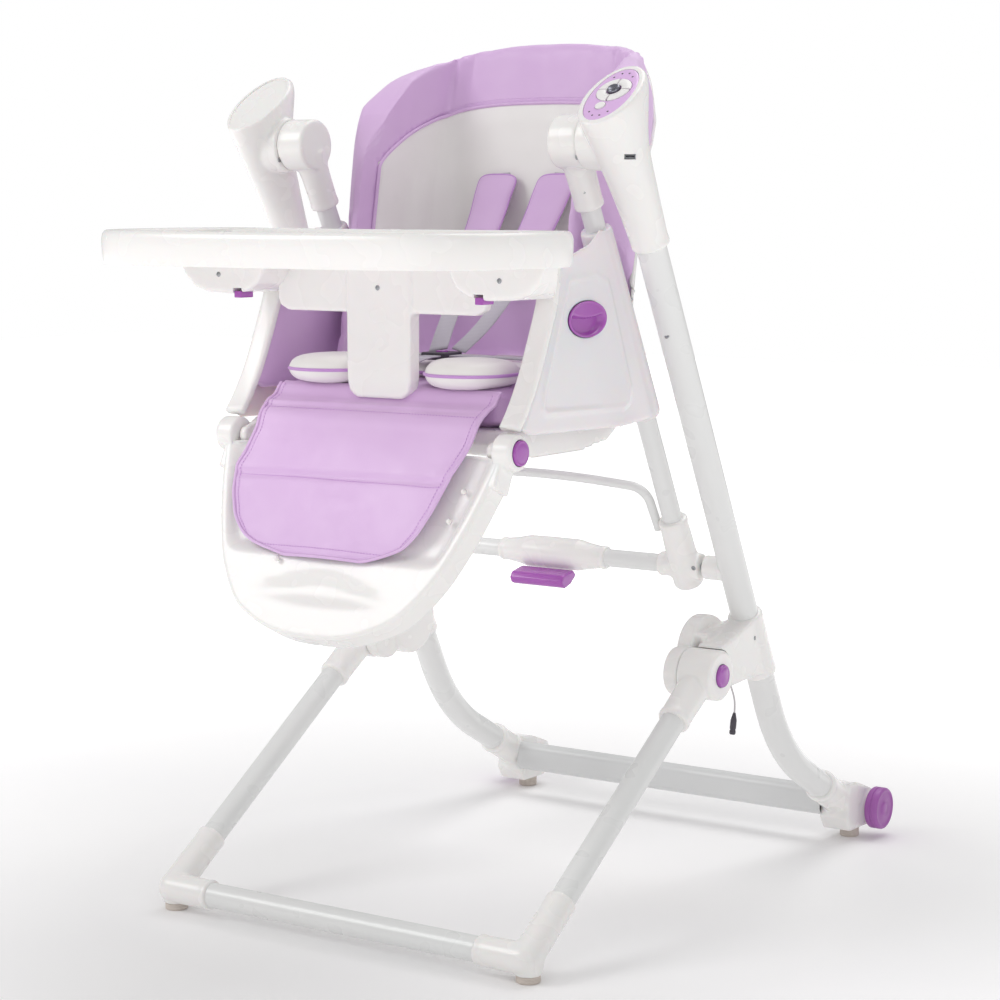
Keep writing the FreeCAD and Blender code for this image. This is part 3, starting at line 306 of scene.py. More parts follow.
def slabFrom(points, count):
    faces = [tuple(range(count)), tuple(range(2 * count - 1, count - 1, -1))]
    faces += [(i, (i + 1) % count, count + (i + 1) % count, count + i) for i in range(count)]
    return addMesh("slab", points, faces)


def smoothLine(points, steps, closed=False):
    points = [Vector(p) for p in points]
    count = len(points)
    out = []
    for i in range(count if closed else count - 1):
        if closed:
            a, b, c, d = (points[(i + k) % count] for k in (-1, 0, 1, 2))
        else:
            b, c = points[i], points[i + 1]
            a = points[i - 1] if i else b * 2 - c
            d = points[i + 2] if i + 2 < count else c * 2 - b
        for k in range(steps):
            t = k / steps
            out.append(0.5 * ((2 * b) + (c - a) * t + (2 * a - 5 * b + 4 * c - d) * t * t
                              + (3 * b - a - 3 * c + d) * t ** 3))
    return out if closed else out + [points[-1]]


def smoothRings(rings, steps):
    columns = [smoothLine(column, steps) for column in zip(*rings)]
    return [list(ring) for ring in zip(*columns)]


def ramp(value, low, high):
    t = min(max((value - low) / (high - low), 0.0), 1.0)
    return t * t * (3 - 2 * t)


def applied(piece):
    evaluated = piece.evaluated_get(bpy.context.evaluated_depsgraph_get())
    mesh = bpy.data.meshes.new_from_object(evaluated)
    piece.modifiers.clear()
    piece.data = mesh
    mesh.name = piece.name
    return piece


def modify(piece, kind, **settings):
    modifier = piece.modifiers.new(kind.lower(), kind)
    for key, value in settings.items():
        setattr(modifier, key, value)
    return applied(piece)


def joined(name, pieces):
    shape = bmesh.new()
    for piece in pieces:
        shape.from_mesh(piece.data)
    mesh = bpy.data.meshes.new(name)
    shape.to_mesh(mesh)
    shape.free()
    mesh.shade_smooth()
    result = bpy.data.objects.new(name, mesh)
    bpy.context.collection.objects.link(result)
    for piece in pieces:
        bpy.data.objects.remove(piece)
    return result


def otherSide(piece):        # a mirrored copy across x = 0, its faces turned to point outwards again
    shape = bmesh.new()
    shape.from_mesh(piece.data)
    bmesh.ops.scale(shape, vec=(-1, 1, 1), verts=shape.verts)
    bmesh.ops.reverse_faces(shape, faces=shape.faces)
    mesh = bpy.data.meshes.new("mirrored")
    shape.to_mesh(mesh)
    shape.free()
    mesh.shade_smooth()
    copy = bpy.data.objects.new("mirrored", mesh)
    bpy.context.collection.objects.link(copy)
    return copy


def bothSides(name, piece):
    return joined(name, [piece, otherSide(piece)])


def organic(solids, voxel=1.9, rounds=7, name="organic"):
    # one skin over overlapping solids, edges melted
    piece = joined(name, solids)
    modify(piece, "REMESH", mode="VOXEL", voxel_size=voxel * millimetre, use_smooth_shade=True)
    modify(piece, "SMOOTH", factor=0.5, iterations=rounds)
    piece.data.shade_smooth()
    return piece


def carve(piece, cutter, operation="DIFFERENCE"):
    modify(piece, "BOOLEAN", object=cutter, operation=operation, solver="EXACT")
    bpy.data.objects.remove(cutter)
    piece.data.shade_smooth()
    piece.data.set_sharp_from_angle(angle=math.radians(38))
    return piece


def moveEach(piece, rule):        # rule takes a point and its normal in millimetres and gives the new point
    normals = [n.vector.copy() for n in piece.data.vertex_normals]
    for vertex, normal in zip(piece.data.vertices, normals):
        vertex.co = Vector(rule(vertex.co / millimetre, normal)) * millimetre
    piece.data.update()
    return piece


def inside(point, outline):        # signed distance from a closed 2-D outline, positive inside
    nearest, within = 1e9, False
    px, py = point
    for (ax, ay), (bx, by) in zip(outline, outline[1:] + outline[:1]):
        dx, dy = bx - ax, by - ay
        t = min(max(((px - ax) * dx + (py - ay) * dy) / (dx * dx + dy * dy), 0), 1)
        nearest = min(nearest, math.hypot(px - ax - dx * t, py - ay - dy * t))
        if (ay > py) != (by > py) and px < ax + dx * (py - ay) / dy:
            within = not within
    return nearest if within else -nearest


def dress(piece, name, body, slot, replaced=(), blend=None):
    piece.name = name
    piece.data.name = name
    piece.data.materials.clear()
    piece.data.materials.append(finishes[slot])
    if blend:
        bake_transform(piece)
    else:
        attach(piece, body)
    if replaced:
        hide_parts(*replaced)
    return piece


def tubeAlong(points, radius, closed=False, name="tube"):        # a round cord or piping through points
    curve = bpy.data.curves.new(name, "CURVE")
    curve.dimensions, curve.bevel_depth, curve.bevel_resolution = "3D", radius * millimetre, 3
    curve.use_fill_caps, curve.resolution_u = True, 4
    line = curve.splines.new("NURBS")
    line.points.add(len(points) - 1)
    for point, place in zip(line.points, points):
        point.co = (*(Vector(place) * millimetre), 1)
    line.order_u, line.use_endpoint_u, line.use_cyclic_u = 3, not closed, closed
    holder = bpy.data.objects.new(name, curve)
    bpy.context.collection.objects.link(holder)
    mesh = bpy.data.meshes.new_from_object(holder.evaluated_get(bpy.context.evaluated_depsgraph_get()))
    bpy.data.objects.remove(holder)
    piece = bpy.data.objects.new(name, mesh)
    bpy.context.collection.objects.link(piece)
    mesh.shade_smooth()
    return piece


def ribbon(points, widthWay, width, thick, name="ribbon"):        # flat webbing through points
    centres = smoothLine(points, 8)
    rings = []
    for i, centre in enumerate(centres):
        ahead = (centres[min(i + 1, len(centres) - 1)] - centres[max(i - 1, 0)]).normalized()
        across = (Vector(widthWay) - ahead * ahead.dot(Vector(widthWay))).normalized()
        up = across.cross(ahead)
        half, edge = width / 2, thick / 2
        ring = [(-half, 0), (-half + edge, edge), (half - edge, edge), (half, 0), (half - edge, -edge),
                (-half + edge, -edge)]
        rings.append([centre + across * u + up * v for u, v in ring])
    return loft(rings, name)


# repeated small things, made with geometry nodes
def newTree(name, sockets):
    tree = bpy.data.node_groups.new(name, "GeometryNodeTree")
    tree.interface.new_socket("Geometry", in_out="INPUT", socket_type="NodeSocketGeometry")
    tree.interface.new_socket("Geometry", in_out="OUTPUT", socket_type="NodeSocketGeometry")
    for label in sockets:
        tree.interface.new_socket(label, in_out="INPUT", socket_type="NodeSocketFloat")
    tree.interface.new_socket("Finish", in_out="INPUT", socket_type="NodeSocketMaterial")
    return tree, addNode(tree, "NodeGroupInput")


def finishTree(tree, given, points, shape, facing):
    turn = addNode(tree, "FunctionNodeAlignRotationToVector", [("Vector", facing)],
                   axis="Z").outputs["Rotation"]
    placed = addNode(tree, "GeometryNodeInstanceOnPoints",
                     [("Points", points), ("Instance", shape), ("Rotation", turn)])
    real = addNode(tree, "GeometryNodeRealizeInstances", [("Geometry", placed.outputs["Instances"])])
    coated = addNode(tree, "GeometryNodeSetMaterial", [("Geometry", real.outputs["Geometry"]),
                                                       ("Material", given.outputs["Finish"])])
    addNode(tree, "NodeGroupOutput", [("Geometry", coated.outputs["Geometry"])])
    return tree


def scaled(tree, given, factors):        # a vector of input sizes times factors
    axes = [addNode(tree, "ShaderNodeMath", [(0, given.outputs[label])], [(1, factor)],
                    operation="MULTIPLY").outputs["Value"] for label, factor in factors]
    return addNode(tree, "ShaderNodeCombineXYZ", list(enumerate(axes))).outputs["Vector"]


def screwTree():        # a domed head with a cross slot on every point, facing its "facing" attribute
    tree, given = newTree("screwHeads", ["Head diameter"])
    dome = addNode(tree, "GeometryNodeMeshUVSphere", values=[("Segments", 20), ("Rings", 10), ("Radius", 0.5)])
    flat = addNode(tree, "GeometryNodeTransform", [("Geometry", dome.outputs["Mesh"])],
                   [("Scale", (1, 1, 0.38))])
    bars = [addNode(tree, "GeometryNodeMeshCube", values=[("Size", size)]).outputs["Mesh"]
            for size in ((0.62, 0.13, 0.26), (0.13, 0.62, 0.26))]
    cross = addNode(tree, "GeometryNodeJoinGeometry")
    for bar in bars:
        tree.links.new(bar, cross.inputs["Geometry"])
    raised = addNode(tree, "GeometryNodeTransform", [("Geometry", cross.outputs["Geometry"])],
                     [("Translation", (0, 0, 0.2))])
    head = addNode(tree, "GeometryNodeMeshBoolean", [("Mesh 1", flat.outputs["Geometry"]),
                                                     ("Mesh 2", raised.outputs["Geometry"])],
                   operation="DIFFERENCE", solver="EXACT")
    head.inputs["Self Intersection"].default_value = True
    sized = addNode(tree, "GeometryNodeTransform", [("Geometry", head.outputs["Mesh"]),
                    ("Scale", scaled(tree, given, [("Head diameter", 1)] * 3))])
    facing = addNode(tree, "GeometryNodeInputNamedAttribute", values=[("Name", "facing")],
                     data_type="FLOAT_VECTOR").outputs["Attribute"]
    return finishTree(tree, given, given.outputs["Geometry"], sized.outputs["Geometry"], facing)


def dotTree():        # a flat-bottomed lens on every point, for lamps and pips
    tree, given = newTree("lampDots", ["Lens diameter", "Lens height"])
    ball = addNode(tree, "GeometryNodeMeshUVSphere", values=[("Segments", 16), ("Rings", 8), ("Radius", 0.5)])
    sizes = [("Lens diameter", 1), ("Lens diameter", 1), ("Lens height", 2)]
    lens = addNode(tree, "GeometryNodeTransform", [("Geometry", ball.outputs["Mesh"]),
                                                   ("Scale", scaled(tree, given, sizes))])
    facing = addNode(tree, "GeometryNodeInputNamedAttribute", values=[("Name", "facing")],
                     data_type="FLOAT_VECTOR").outputs["Attribute"]
    return finishTree(tree, given, given.outputs["Geometry"], lens.outputs["Geometry"], facing)


def stitchTree():        # short thread capsules, one pitch apart along each curve
    tree, given = newTree("stitchRows", ["Pitch", "Stitch length", "Thread diameter"])
    spaced = addNode(tree, "GeometryNodeResampleCurve", [("Curve", given.outputs["Geometry"]),
                                                         ("Length", given.outputs["Pitch"])], mode="LENGTH")
    ball = addNode(tree, "GeometryNodeMeshUVSphere", values=[("Segments", 6), ("Rings", 4), ("Radius", 0.5)])
    sizes = [("Thread diameter", 1), ("Thread diameter", 1), ("Stitch length", 1)]
    thread = addNode(tree, "GeometryNodeTransform", [("Geometry", ball.outputs["Mesh"]),
                                                     ("Scale", scaled(tree, given, sizes))])
    tangent = addNode(tree, "GeometryNodeInputTangent").outputs["Tangent"]
    return finishTree(tree, given, spaced.outputs["Curve"], thread.outputs["Geometry"], tangent)


trees = {"screw": screwTree(), "dot": dotTree(), "stitch": stitchTree()}


def grown(holder, kind, sizes, slot):        # runs a tree on an object and keeps the result as a plain mesh
    modifier = holder.modifiers.new(kind, "NODES")
    modifier.node_group = trees[kind]
    labels = {item.name: item.identifier for item in trees[kind].interface.items_tree if item.in_out == "INPUT"}
    for label, value in sizes.items():
        modifier[labels[label]] = value * millimetre
    modifier[labels["Finish"]] = finishes[slot]
    mesh = bpy.data.meshes.new_from_object(holder.evaluated_get(bpy.context.evaluated_depsgraph_get()))
    holder.modifiers.clear()
    piece = bpy.data.objects.new(kind, mesh)
    bpy.context.collection.objects.link(piece)
    bpy.data.objects.remove(holder)
    return piece


def pointsFacing(places):        # places: (point, direction) pairs
    mesh = bpy.data.meshes.new("points")
    mesh.from_pydata([tuple(Vector(p) * millimetre) for p, way in places], [], [])
    facing = mesh.attributes.new("facing", "FLOAT_VECTOR", "POINT")
    for entry, (p, way) in zip(facing.data, places):
        entry.vector = Vector(way).normalized()
    holder = bpy.data.objects.new("points", mesh)
    bpy.context.collection.objects.link(holder)
    return holder


def screws(name, body, places, diameter=6.2, replaced=()):
    piece = grown(pointsFacing(places), "screw", {"Head diameter": diameter}, "steel")
    piece.data.shade_smooth()
    piece.data.set_sharp_from_angle(angle=math.radians(35))
    return dress(piece, name, body, "steel", replaced)


stitch = {"Pitch": 4.2, "Stitch length": 3.0, "Thread diameter": 0.8}


def stitches(name, lines, body, slot, blend=None):
    curve = bpy.data.curves.new("seams", "CURVE")
    curve.dimensions = "3D"
    for points in lines:
        line = curve.splines.new("POLY")
        line.points.add(len(points) - 1)
        for point, place in zip(line.points, points):
            point.co = (*(Vector(place) * millimetre), 1)
    holder = bpy.data.objects.new("seams", curve)
    bpy.context.collection.objects.link(holder)
    piece = grown(holder, "stitch", stitch, slot)
    piece.data.shade_smooth()
    return dress(piece, name, body, slot, blend=blend)


def withMirror(places):
    return places + [((-p[0], p[1], p[2]), (-w[0], w[1], w[2])) for p, w in places]


# the chair's shared lines, in millimetres
def span(node):
    low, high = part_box(node)
    return Vector(low) / millimetre, Vector(high) / millimetre


def middle(node):
    low, high = span(node)
    return (low + high) / 2


chair = {"lean": math.radians(26.885), "lineY": -88.8, "lineZ": 812.0, "legRadius": 17.5, "swingRadius": 12.3,
         "frontRadius": 15.0}
legX = span("upper_legs")[1].x - chair["legRadius"]
swingX = span("swing_tubes")[1].x - chair["swingRadius"]
frontX = span("front_leg_tubes")[1].x - chair["frontRadius"]
hub = Vector((0, *[(a + b) / 2 for a, b in zip(*span("swing_shafts"))][1:]))
pivot = Vector((0, *middle("fold_button_right")[1:]))
corner = Vector((0, *middle("front_cross_tube")[1:]))
downLine = Vector((0, math.sin(chair["lean"]), -math.cos(chair["lean"])))
downFront = (corner - pivot).normalized()


def onLine(x, z):
    return Vector((x, chair["lineY"] + (chair["lineZ"] - z) * math.tan(chair["lean"]), z))


def alongX(point, low, high, radius):
    return rod((low, point[1], point[2]), (high, point[1], point[2]), radius)


# control cord
cord = {"route": [(.250, .128, .270), (.250, .131, .262), (.2505, .138, .251), (.251, .1435, .239),
                  (.251, .1455, .228), (.2505, .145, .220)],
        "length": 0.0539, "diameter": 0.0022, "body": "frame",
        "plug": [(0, 1.6), (1.5, 2.0), (8, 3.6), (9.5, 4.0), (20, 4.0), (21, 3.4), (22, 3.4), (23, 4.0),
                 (26, 4.0),
                 (27.6, 3.2), (27.8, 1.8), (24, 1.5)],
        "gland": [(-6, 3.4), (-1, 3.4), (0, 3.0), (2.2, 2.0), (2.4, 1.25)]}


def makeCord():
    curve = bpy.data.curves.new("controlCord", "CURVE")
    curve.dimensions, curve.bevel_depth, curve.bevel_resolution = "3D", cord["diameter"] / 2, 4
    curve.resolution_u, curve.use_fill_caps = 12, True
    line = curve.splines.new("NURBS")
    line.points.add(len(cord["route"]) - 1)
    for point, place in zip(line.points, cord["route"]):
        point.co = (*place, 1)
    line.order_u, line.use_endpoint_u = 3, True
    piece = bpy.data.objects.new("controlCord", curve)
    bpy.context.collection.objects.link(piece)
    curve.materials.append(finishes["cord_sheath"])
    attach(piece, cord["body"])
    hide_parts("power_cord")
    route = [Vector(p) / millimetre for p in cord["route"]]
    plug = turned(cord["plug"], route[-1], route[-1] - route[-2], sides=32)
    plug.data.set_sharp_from_angle(angle=math.radians(40))
    dress(plug, "cordConnector", cord["body"], "dark_plastic", ["cord_connector"])
    gland = turned(cord["gland"], route[0], route[1] - route[0], sides=32)
    dress(gland, "cordGland", cord["body"], "white_plastic", ["cord_gland"])


makeCord()
print("stage: cord made")


# head housings and the control panel
head = {"face": (254.0, -161.0, 974.0), "slope": math.radians(36.87), "long": 57.0, "short": 35.5,
        "collarZ": 805.0,
        "collar": 21.5, "boss": 33.0, "bossInner": 215.0, "sections": [(868, 25.0, 28.0), (915, 28.5, 37.0)],
        "panelLong": 48.7, "panelShort": 27.5, "panelDeep": 3.0, "socketOut": 31.0,
        "socketTurn": math.radians(-58)}
faceUp = Vector((0, -math.sin(head["slope"]), math.cos(head["slope"])))
faceLong = Vector((0, math.cos(head["slope"]), math.sin(head["slope"])))


def onFace(along, across, height):
    return Vector(head["face"]) + faceLong * along + Vector((1, 0, 0)) * across + faceUp * height


def faceOval(long, short, height):
    return oval(onFace(0, 0, height), Vector((short, 0, 0)), faceLong * long, 72)


def headBody():
    rear = Vector((0, math.cos(chair["lean"]), math.sin(chair["lean"])))
    faceX, topZ = head["face"][0], head["face"][2]
    rings = []
    for z, across, along in [(head["collarZ"], head["collar"], head["collar"] + 0.1), *head["sections"]]:
        x = legX - (legX - faceX) * (z - head["collarZ"]) / (topZ - head["collarZ"])
        rings.append(oval(onLine(x, z), Vector((across, 0, 0)), rear * along, 72))
    rings.append(faceOval(head["long"] - 0.6, head["short"] - 0.6, -13))
    rings.append(faceOval(head["long"] - 1.2, head["short"] - 1.2, 0.6))
    boss = alongX(hub, head["bossInner"], faceX, head["boss"])
    lip = turned([(0, head["collar"]), (0.5, head["collar"] + 0.9), (7, head["collar"] + 0.9),
                  (9, head["collar"])],
                 onLine(legX, head["collarZ"] + 0.5), -downLine)
    return organic([loft(smoothRings(rings, 7)), boss, lip], voxel=1.5, rounds=9)


def makeHeads():
    plain = headBody()
    mirrorCopy = otherSide(plain)
    right = otherSide(mirrorCopy)
    bpy.data.objects.remove(mirrorCopy)
    recess = loft([faceOval(head["panelLong"] + 0.3, head["panelShort"] + 0.3,
                            h) for h in (-head["panelDeep"], 20)])
    carve(right, recess)
    out = Vector((math.cos(head["socketTurn"]), math.sin(head["socketTurn"]), 0))
    mouth = onLine(legX, 900) * 1
    mouth.z = 905
    mouth = mouth + out * (head["socketOut"] - 1)
    side = out.cross(Vector((0, 0, 1)))
    port = addMesh("port", [mouth + side * u + Vector((0, 0, w)) + out * d for d in (-6, 9) for u, w in
                            ((-6.6, -2.9), (6.6, -2.9), (6.6, 2.9), (-6.6, 2.9))],
                   [(0, 1, 2, 3), (7, 6, 5, 4), (0, 4, 5, 1), (1, 5, 6, 2), (2, 6, 7, 3), (3, 7, 4, 0)])
    carve(right, port)
    left = otherSide(plain)
    blind = loft([[Vector((-p.x, p.y, p.z)) for p in faceOval(head["long"] - 5, head["short"] - 5, h)]
                  for h in (-0.9, 20)])
    carve(left, blind)
    bpy.data.objects.remove(plain)
    dress(joined("headHousings", [right, left]), "headHousings", "frame", "white_plastic", ["head_shells"])
    shell = addMesh("port", [mouth + side * u * s + Vector((0, 0, w * s)) + out * d for d, s in
                             ((1.2, 1.0), (1.4, 0.86), (-5.5, 0.84)) for u, w in
                             ((-6.5, -2.8), (6.5, -2.8), (6.5, 2.8), (-6.5, 2.8))],
                    [(a + i, a + (i + 1) % 4, a + 4 + (i + 1) % 4, a + 4 + i) for a in (0, 4) for i in range(4)]
                    + [(8, 9, 10, 11)])
    modify(shell, "SOLIDIFY", thickness=0.5 * millimetre, offset=0)
    shell.data.shade_flat()
    tongue = addMesh("tongue", [mouth + side * u + Vector((0, 0, w)) + out * d for d in (-5, 0) for u, w in
                                ((-4.6, -0.2), (4.6, -0.2), (4.6, 1.2), (-4.6, 1.2))],
                     [(0, 1, 2, 3), (7, 6, 5, 4), (0, 4, 5, 1), (1, 5, 6, 2), (2, 6, 7, 3), (3, 7, 4, 0)])
    dress(tongue, "socketTongue", "frame", "dark_plastic")
    dress(shell, "chargingSocket", "frame", "steel", ["panel_socket"])


panel = {"ringUp": 8.0, "ring": 21.0, "ringHole": 9.2, "keyUp": -22.0,
         "keyAcross": -3.0, "key": 6.3, "segmentGap": 7.0, "lampLong": 40.8, "lampShort": 20.5,
         "lampTurns": (-36, -13, 13, 36), "lampSize": 2.6}


def makePanel():
    long, short = head["panelLong"], head["panelShort"]
    rings = [faceOval(long - i, short - i, h) for i, h in ((0.2, -2.6), (0.0, -0.6), (0.5, 0.1), (1.6, 0.4),
                                                          (8, 0.5), (18, 0.55))]
    plate = loft(rings)
    for radius, up, across in ((panel["ring"] + 0.5, panel["ringUp"], 0),
                               (panel["key"] + 0.5, panel["keyUp"], panel["keyAcross"])):
        carve(plate, rod(onFace(up, across, -1.5), onFace(up, across, 9), radius))
    dress(plate, "controlPanel", "frame", "panel_plastic", ["control_panel"])
    lamps = [(onFace(end * panel["lampLong"] * math.cos(math.radians(t)),
                     panel["lampShort"] * math.sin(math.radians(t)), 0.45), faceUp)
             for end in (-1, 1) for t in panel["lampTurns"]]
    dots = grown(pointsFacing(lamps), "dot", {"Lens diameter": panel["lampSize"], "Lens height": 0.5},
                 "dark_plastic")
    dots.data.shade_smooth()
    dress(dots, "panelLamps", "frame", "dark_plastic")
    segments = []
    for quarter in range(4):
        turns = [math.radians(quarter * 90 + panel["segmentGap"] / 2 + k * (90 - panel["segmentGap"]) / 12)
                 for k in range(13)]
        rings = []
        for t in turns:
            way = Vector((1, 0, 0)) * math.cos(t) + faceLong * math.sin(t)
            rings.append([onFace(panel["ringUp"], 0, h) + way * r for r, h in
                          ((panel["ringHole"], -0.3), (panel["ringHole"], 1.4), (panel["ringHole"] + 0.7, 1.9),
                           (15, 2.2), (panel["ring"] - 1.2, 1.7), (panel["ring"] - 0.2, 1.0),
                           (panel["ring"] - 0.2, -0.3))])
        segments.append(loft(rings))
    ring = joined("ring", segments)
    ring.data.set_sharp_from_angle(angle=math.radians(50))
    dress(ring, "panelRing", "panel_ring", "key_plastic", ["panel_ring"])
    knob = turned([(-0.3, 7.5), (2.6, 7.5), (3.6, 7.2), (4.6, 6.2), (4.4, 5.2), (4.0, 4.6), (3.9, 0)],
                  onFace(panel["ringUp"], 0, 0), faceUp, sides=40)
    dress(knob, "panelKnob", "panel_knob", "knob_metal", ["panel_knob"])
    key = turned([(-0.3, 6.3), (1.2, 6.3), (1.8, 5.9), (2.2, 4.8), (2.0, 3.0), (1.9, 0)],
                 onFace(panel["keyUp"], panel["keyAcross"], 0), faceUp, sides=36)
    dress(key, "panelButton", "panel_button", "key_plastic", ["panel_button"])


makeHeads()
makePanel()
print("stage: head housings and panel made")

# front leg hinges, boots, rear ends, wheels and feet
hinge = {"sleeve": 21.5, "low": 266.0, "high": 347.0, "drum": (105.0, 301.0),
         "drumInner": 214.0, "drumOuter": 237.0, "knuckle": 31.0, "knuckleInner": 237.6, "knuckleOuter": 284.0,
         "collar": 19.2, "button": 14.0}


def makeHinges():
    web = [(60, 318), (onLine(0, 336).y, 344), (onLine(0, 336).y + 12, 332), (onLine(0, 272).y + 12, 270),
           (112, 268), (84, 266), (70, 280)]
    bridge = [(70, 330), (onLine(0, 330).y, 336), (onLine(0, 280).y, 278), (90, 268)]
    sleeve = turned([(0, 21.2), (3, 22.4), (8, 21.8), (44, 21.5), (83, 21.8), (87, 22.4), (90.5, 21.2)],
                    onLine(legX, hinge["high"]), downLine)
    drum = turned([(0, 43.5), (2.5, 46.2), (5, 47), (21, 47), (23, 46)],
                  (hinge["drumInner"], *hinge["drum"]), (1, 0, 0))
    cheek = alongX(pivot, hinge["drumInner"] + 4, hinge["drumOuter"], hinge["knuckle"] - 1)
    body = organic([sleeve, drum, cheek, slabX(web, legX - 17, legX + 18), slabX(bridge, 232, legX - 10)],
                   1.9, 8)
    carve(body, alongX(pivot, hinge["drumOuter"] + 0.2, legX + 50, hinge["knuckle"] + 1.0))
    dress(bothSides("hingeHousings", body), "hingeHousings", "frame", "white_plastic", ["hinge_housings"])

    start = Vector((frontX, pivot.y, pivot.z))
    drum = turned([(0, 30.2), (1.2, 31), (42.5, 31), (45, 30.2), (46.4, 27.5)],
                  (hinge["knuckleInner"], pivot.y, pivot.z), (1, 0, 0))
    collar = turned([(0, 19.5), (30, 20.0), (60, 19.2), (76, 19.0), (78, 19.9), (83, 19.9), (85, 18.6)], start,
                    downFront)
    knuckle = organic([drum, collar], 1.7, 7)
    carve(knuckle, alongX(pivot, hinge["knuckleOuter"] - 8, hinge["knuckleOuter"] + 9, hinge["button"] + 0.7))
    dress(bothSides("foldKnuckles", knuckle), "foldKnuckles", "front_legs", "white_plastic", ["fold_knuckles"])
    for side, name in ((1, "right"), (-1, "left")):
        cap = turned([(0, 13.9), (6.2, 13.9), (7.4, 13.3), (8.0, 12.0), (7.4, 11.2), (7.7, 10.4), (8.4, 7),
                      (8.7, 0)],
                     (side * (hinge["knuckleOuter"] - 4), pivot.y, pivot.z), (side, 0, 0), sides=48)
        dress(cap, f"foldButton_{name}", f"fold_button_{name}", "purple_plastic", [f"fold_button_{name}"])


def makeBoots():
    centre = Vector((frontX, corner.y, corner.z))
    shin = turned([(88, 17.0), (86.5, 18.3), (83, 18.4), (80, 17.6), (40, 18.0), (0, 18.4)], centre, -downFront)
    arm = turned([(62, 17.0), (60.5, 18.3), (57, 18.4), (54, 17.6), (30, 17.9), (0, 18.4)], centre, (-1, 0, 0))
    ball = turned([(-18, 4), (-15, 11), (-9, 16.6), (0, 18.9), (9, 16.6), (15, 11), (18, 4)], centre, (0, 1, 0))
    heel = turned([(0, 15.4), (1.5, 16.2), (14, 18.4), (24, 17)], (frontX, corner.y + 5, 8.5), (0, 0, 1))
    boot = organic([shin, arm, ball, heel], 1.7, 7)
    dress(bothSides("frontBoots", boot), "frontBoots", "front_legs", "white_plastic", ["front_boots"])
    foot = turned([(0, 12.6), (0.8, 13.8), (4, 14), (5, 13.4), (6, 14), (9.5, 13.6)], (frontX, corner.y + 5, 0),
                  (0, 0, 1))
    dress(bothSides("frontFeet", foot), "frontFeet", "front_legs", "rubber", ["front_feet"])


rear = {"endY": 402.0, "endZ": 63.6, "slope": math.radians(29.0), "inner": 241.0, "outer": 283.0,
        "sleeve": 21.5,
        "block": [(400, 34), (411, 15.5), (462, 15.0), (477, 26), (481, 46), (473, 64), (436, 78), (408, 82)]}


def makeRearEnds():
    back = Vector((0, -math.cos(rear["slope"]), math.sin(rear["slope"])))
    start = Vector((legX, rear["endY"], rear["endZ"])) - back * 12
    sleeve = turned([(0, 20.8), (50, 21.2), (55, 22.2), (60, 22.2), (62, 20.8)], start, back)
    block = slabX(rear["block"], rear["inner"], rear["outer"])
    bump = turned([(0, 20), (4, 21.5), (10, 22), (26, 22)], (span("wheel_right")[0].x - 26,
                                                             *middle("wheel_right")[1:]),
                  (1, 0, 0))
    body = organic([sleeve, block, bump], 2.0, 11)
    dress(bothSides("rearEnds", body), "rearEnds", "frame", "white_plastic", ["rear_ends"])
    foot = turned([(0, 11.8), (0.8, 12.8), (5, 13), (6, 12.4), (7, 13), (16, 12.8)],
                  (legX, middle("rear_feet").y, 0),
                  (0, 0, 1))
    dress(bothSides("rearFeet", foot), "rearFeet", "frame", "rubber", ["rear_feet"])
    for side, name in ((1, "right"), (-1, "left")):
        low, high = span(f"wheel_{name}")
        centre = (low.x if side > 0 else high.x, middle(f"wheel_{name}").y, middle(f"wheel_{name}").z)
        tread = [(0, 9), (0, 24), (0.9, 26.8), (2.5, 28), (8.2, 28), (8.8, 27.2), (10.2, 27.2), (10.8, 28),
                 (16, 28),
                 (17.8, 27.0), (18.8, 24.8), (18.6, 23.6), (17.6, 22.6), (17.2, 20), (17.2, 9.5), (18.0, 8.6),
                 (18.9, 7), (19.0, 0)]
        wheel = turned(tread, centre, (side, 0, 0), sides=64)
        wheel.data.set_sharp_from_angle(angle=math.radians(45))
        dress(wheel, f"wheel_{name}_tread", f"wheel_{name}", "wheel_plastic", [f"wheel_{name}"])


makeHinges()
makeBoots()
makeRearEnds()
print("stage: hinges, boots, rear ends and wheels made")

# swing: elbows, brackets, pedal housing and pedal
swing = {"hubInner": 176.0, "armEnd": 849.0, "crossZ": 405.0, "bracketTop": 467.0, "bracketFoot": 380.0}


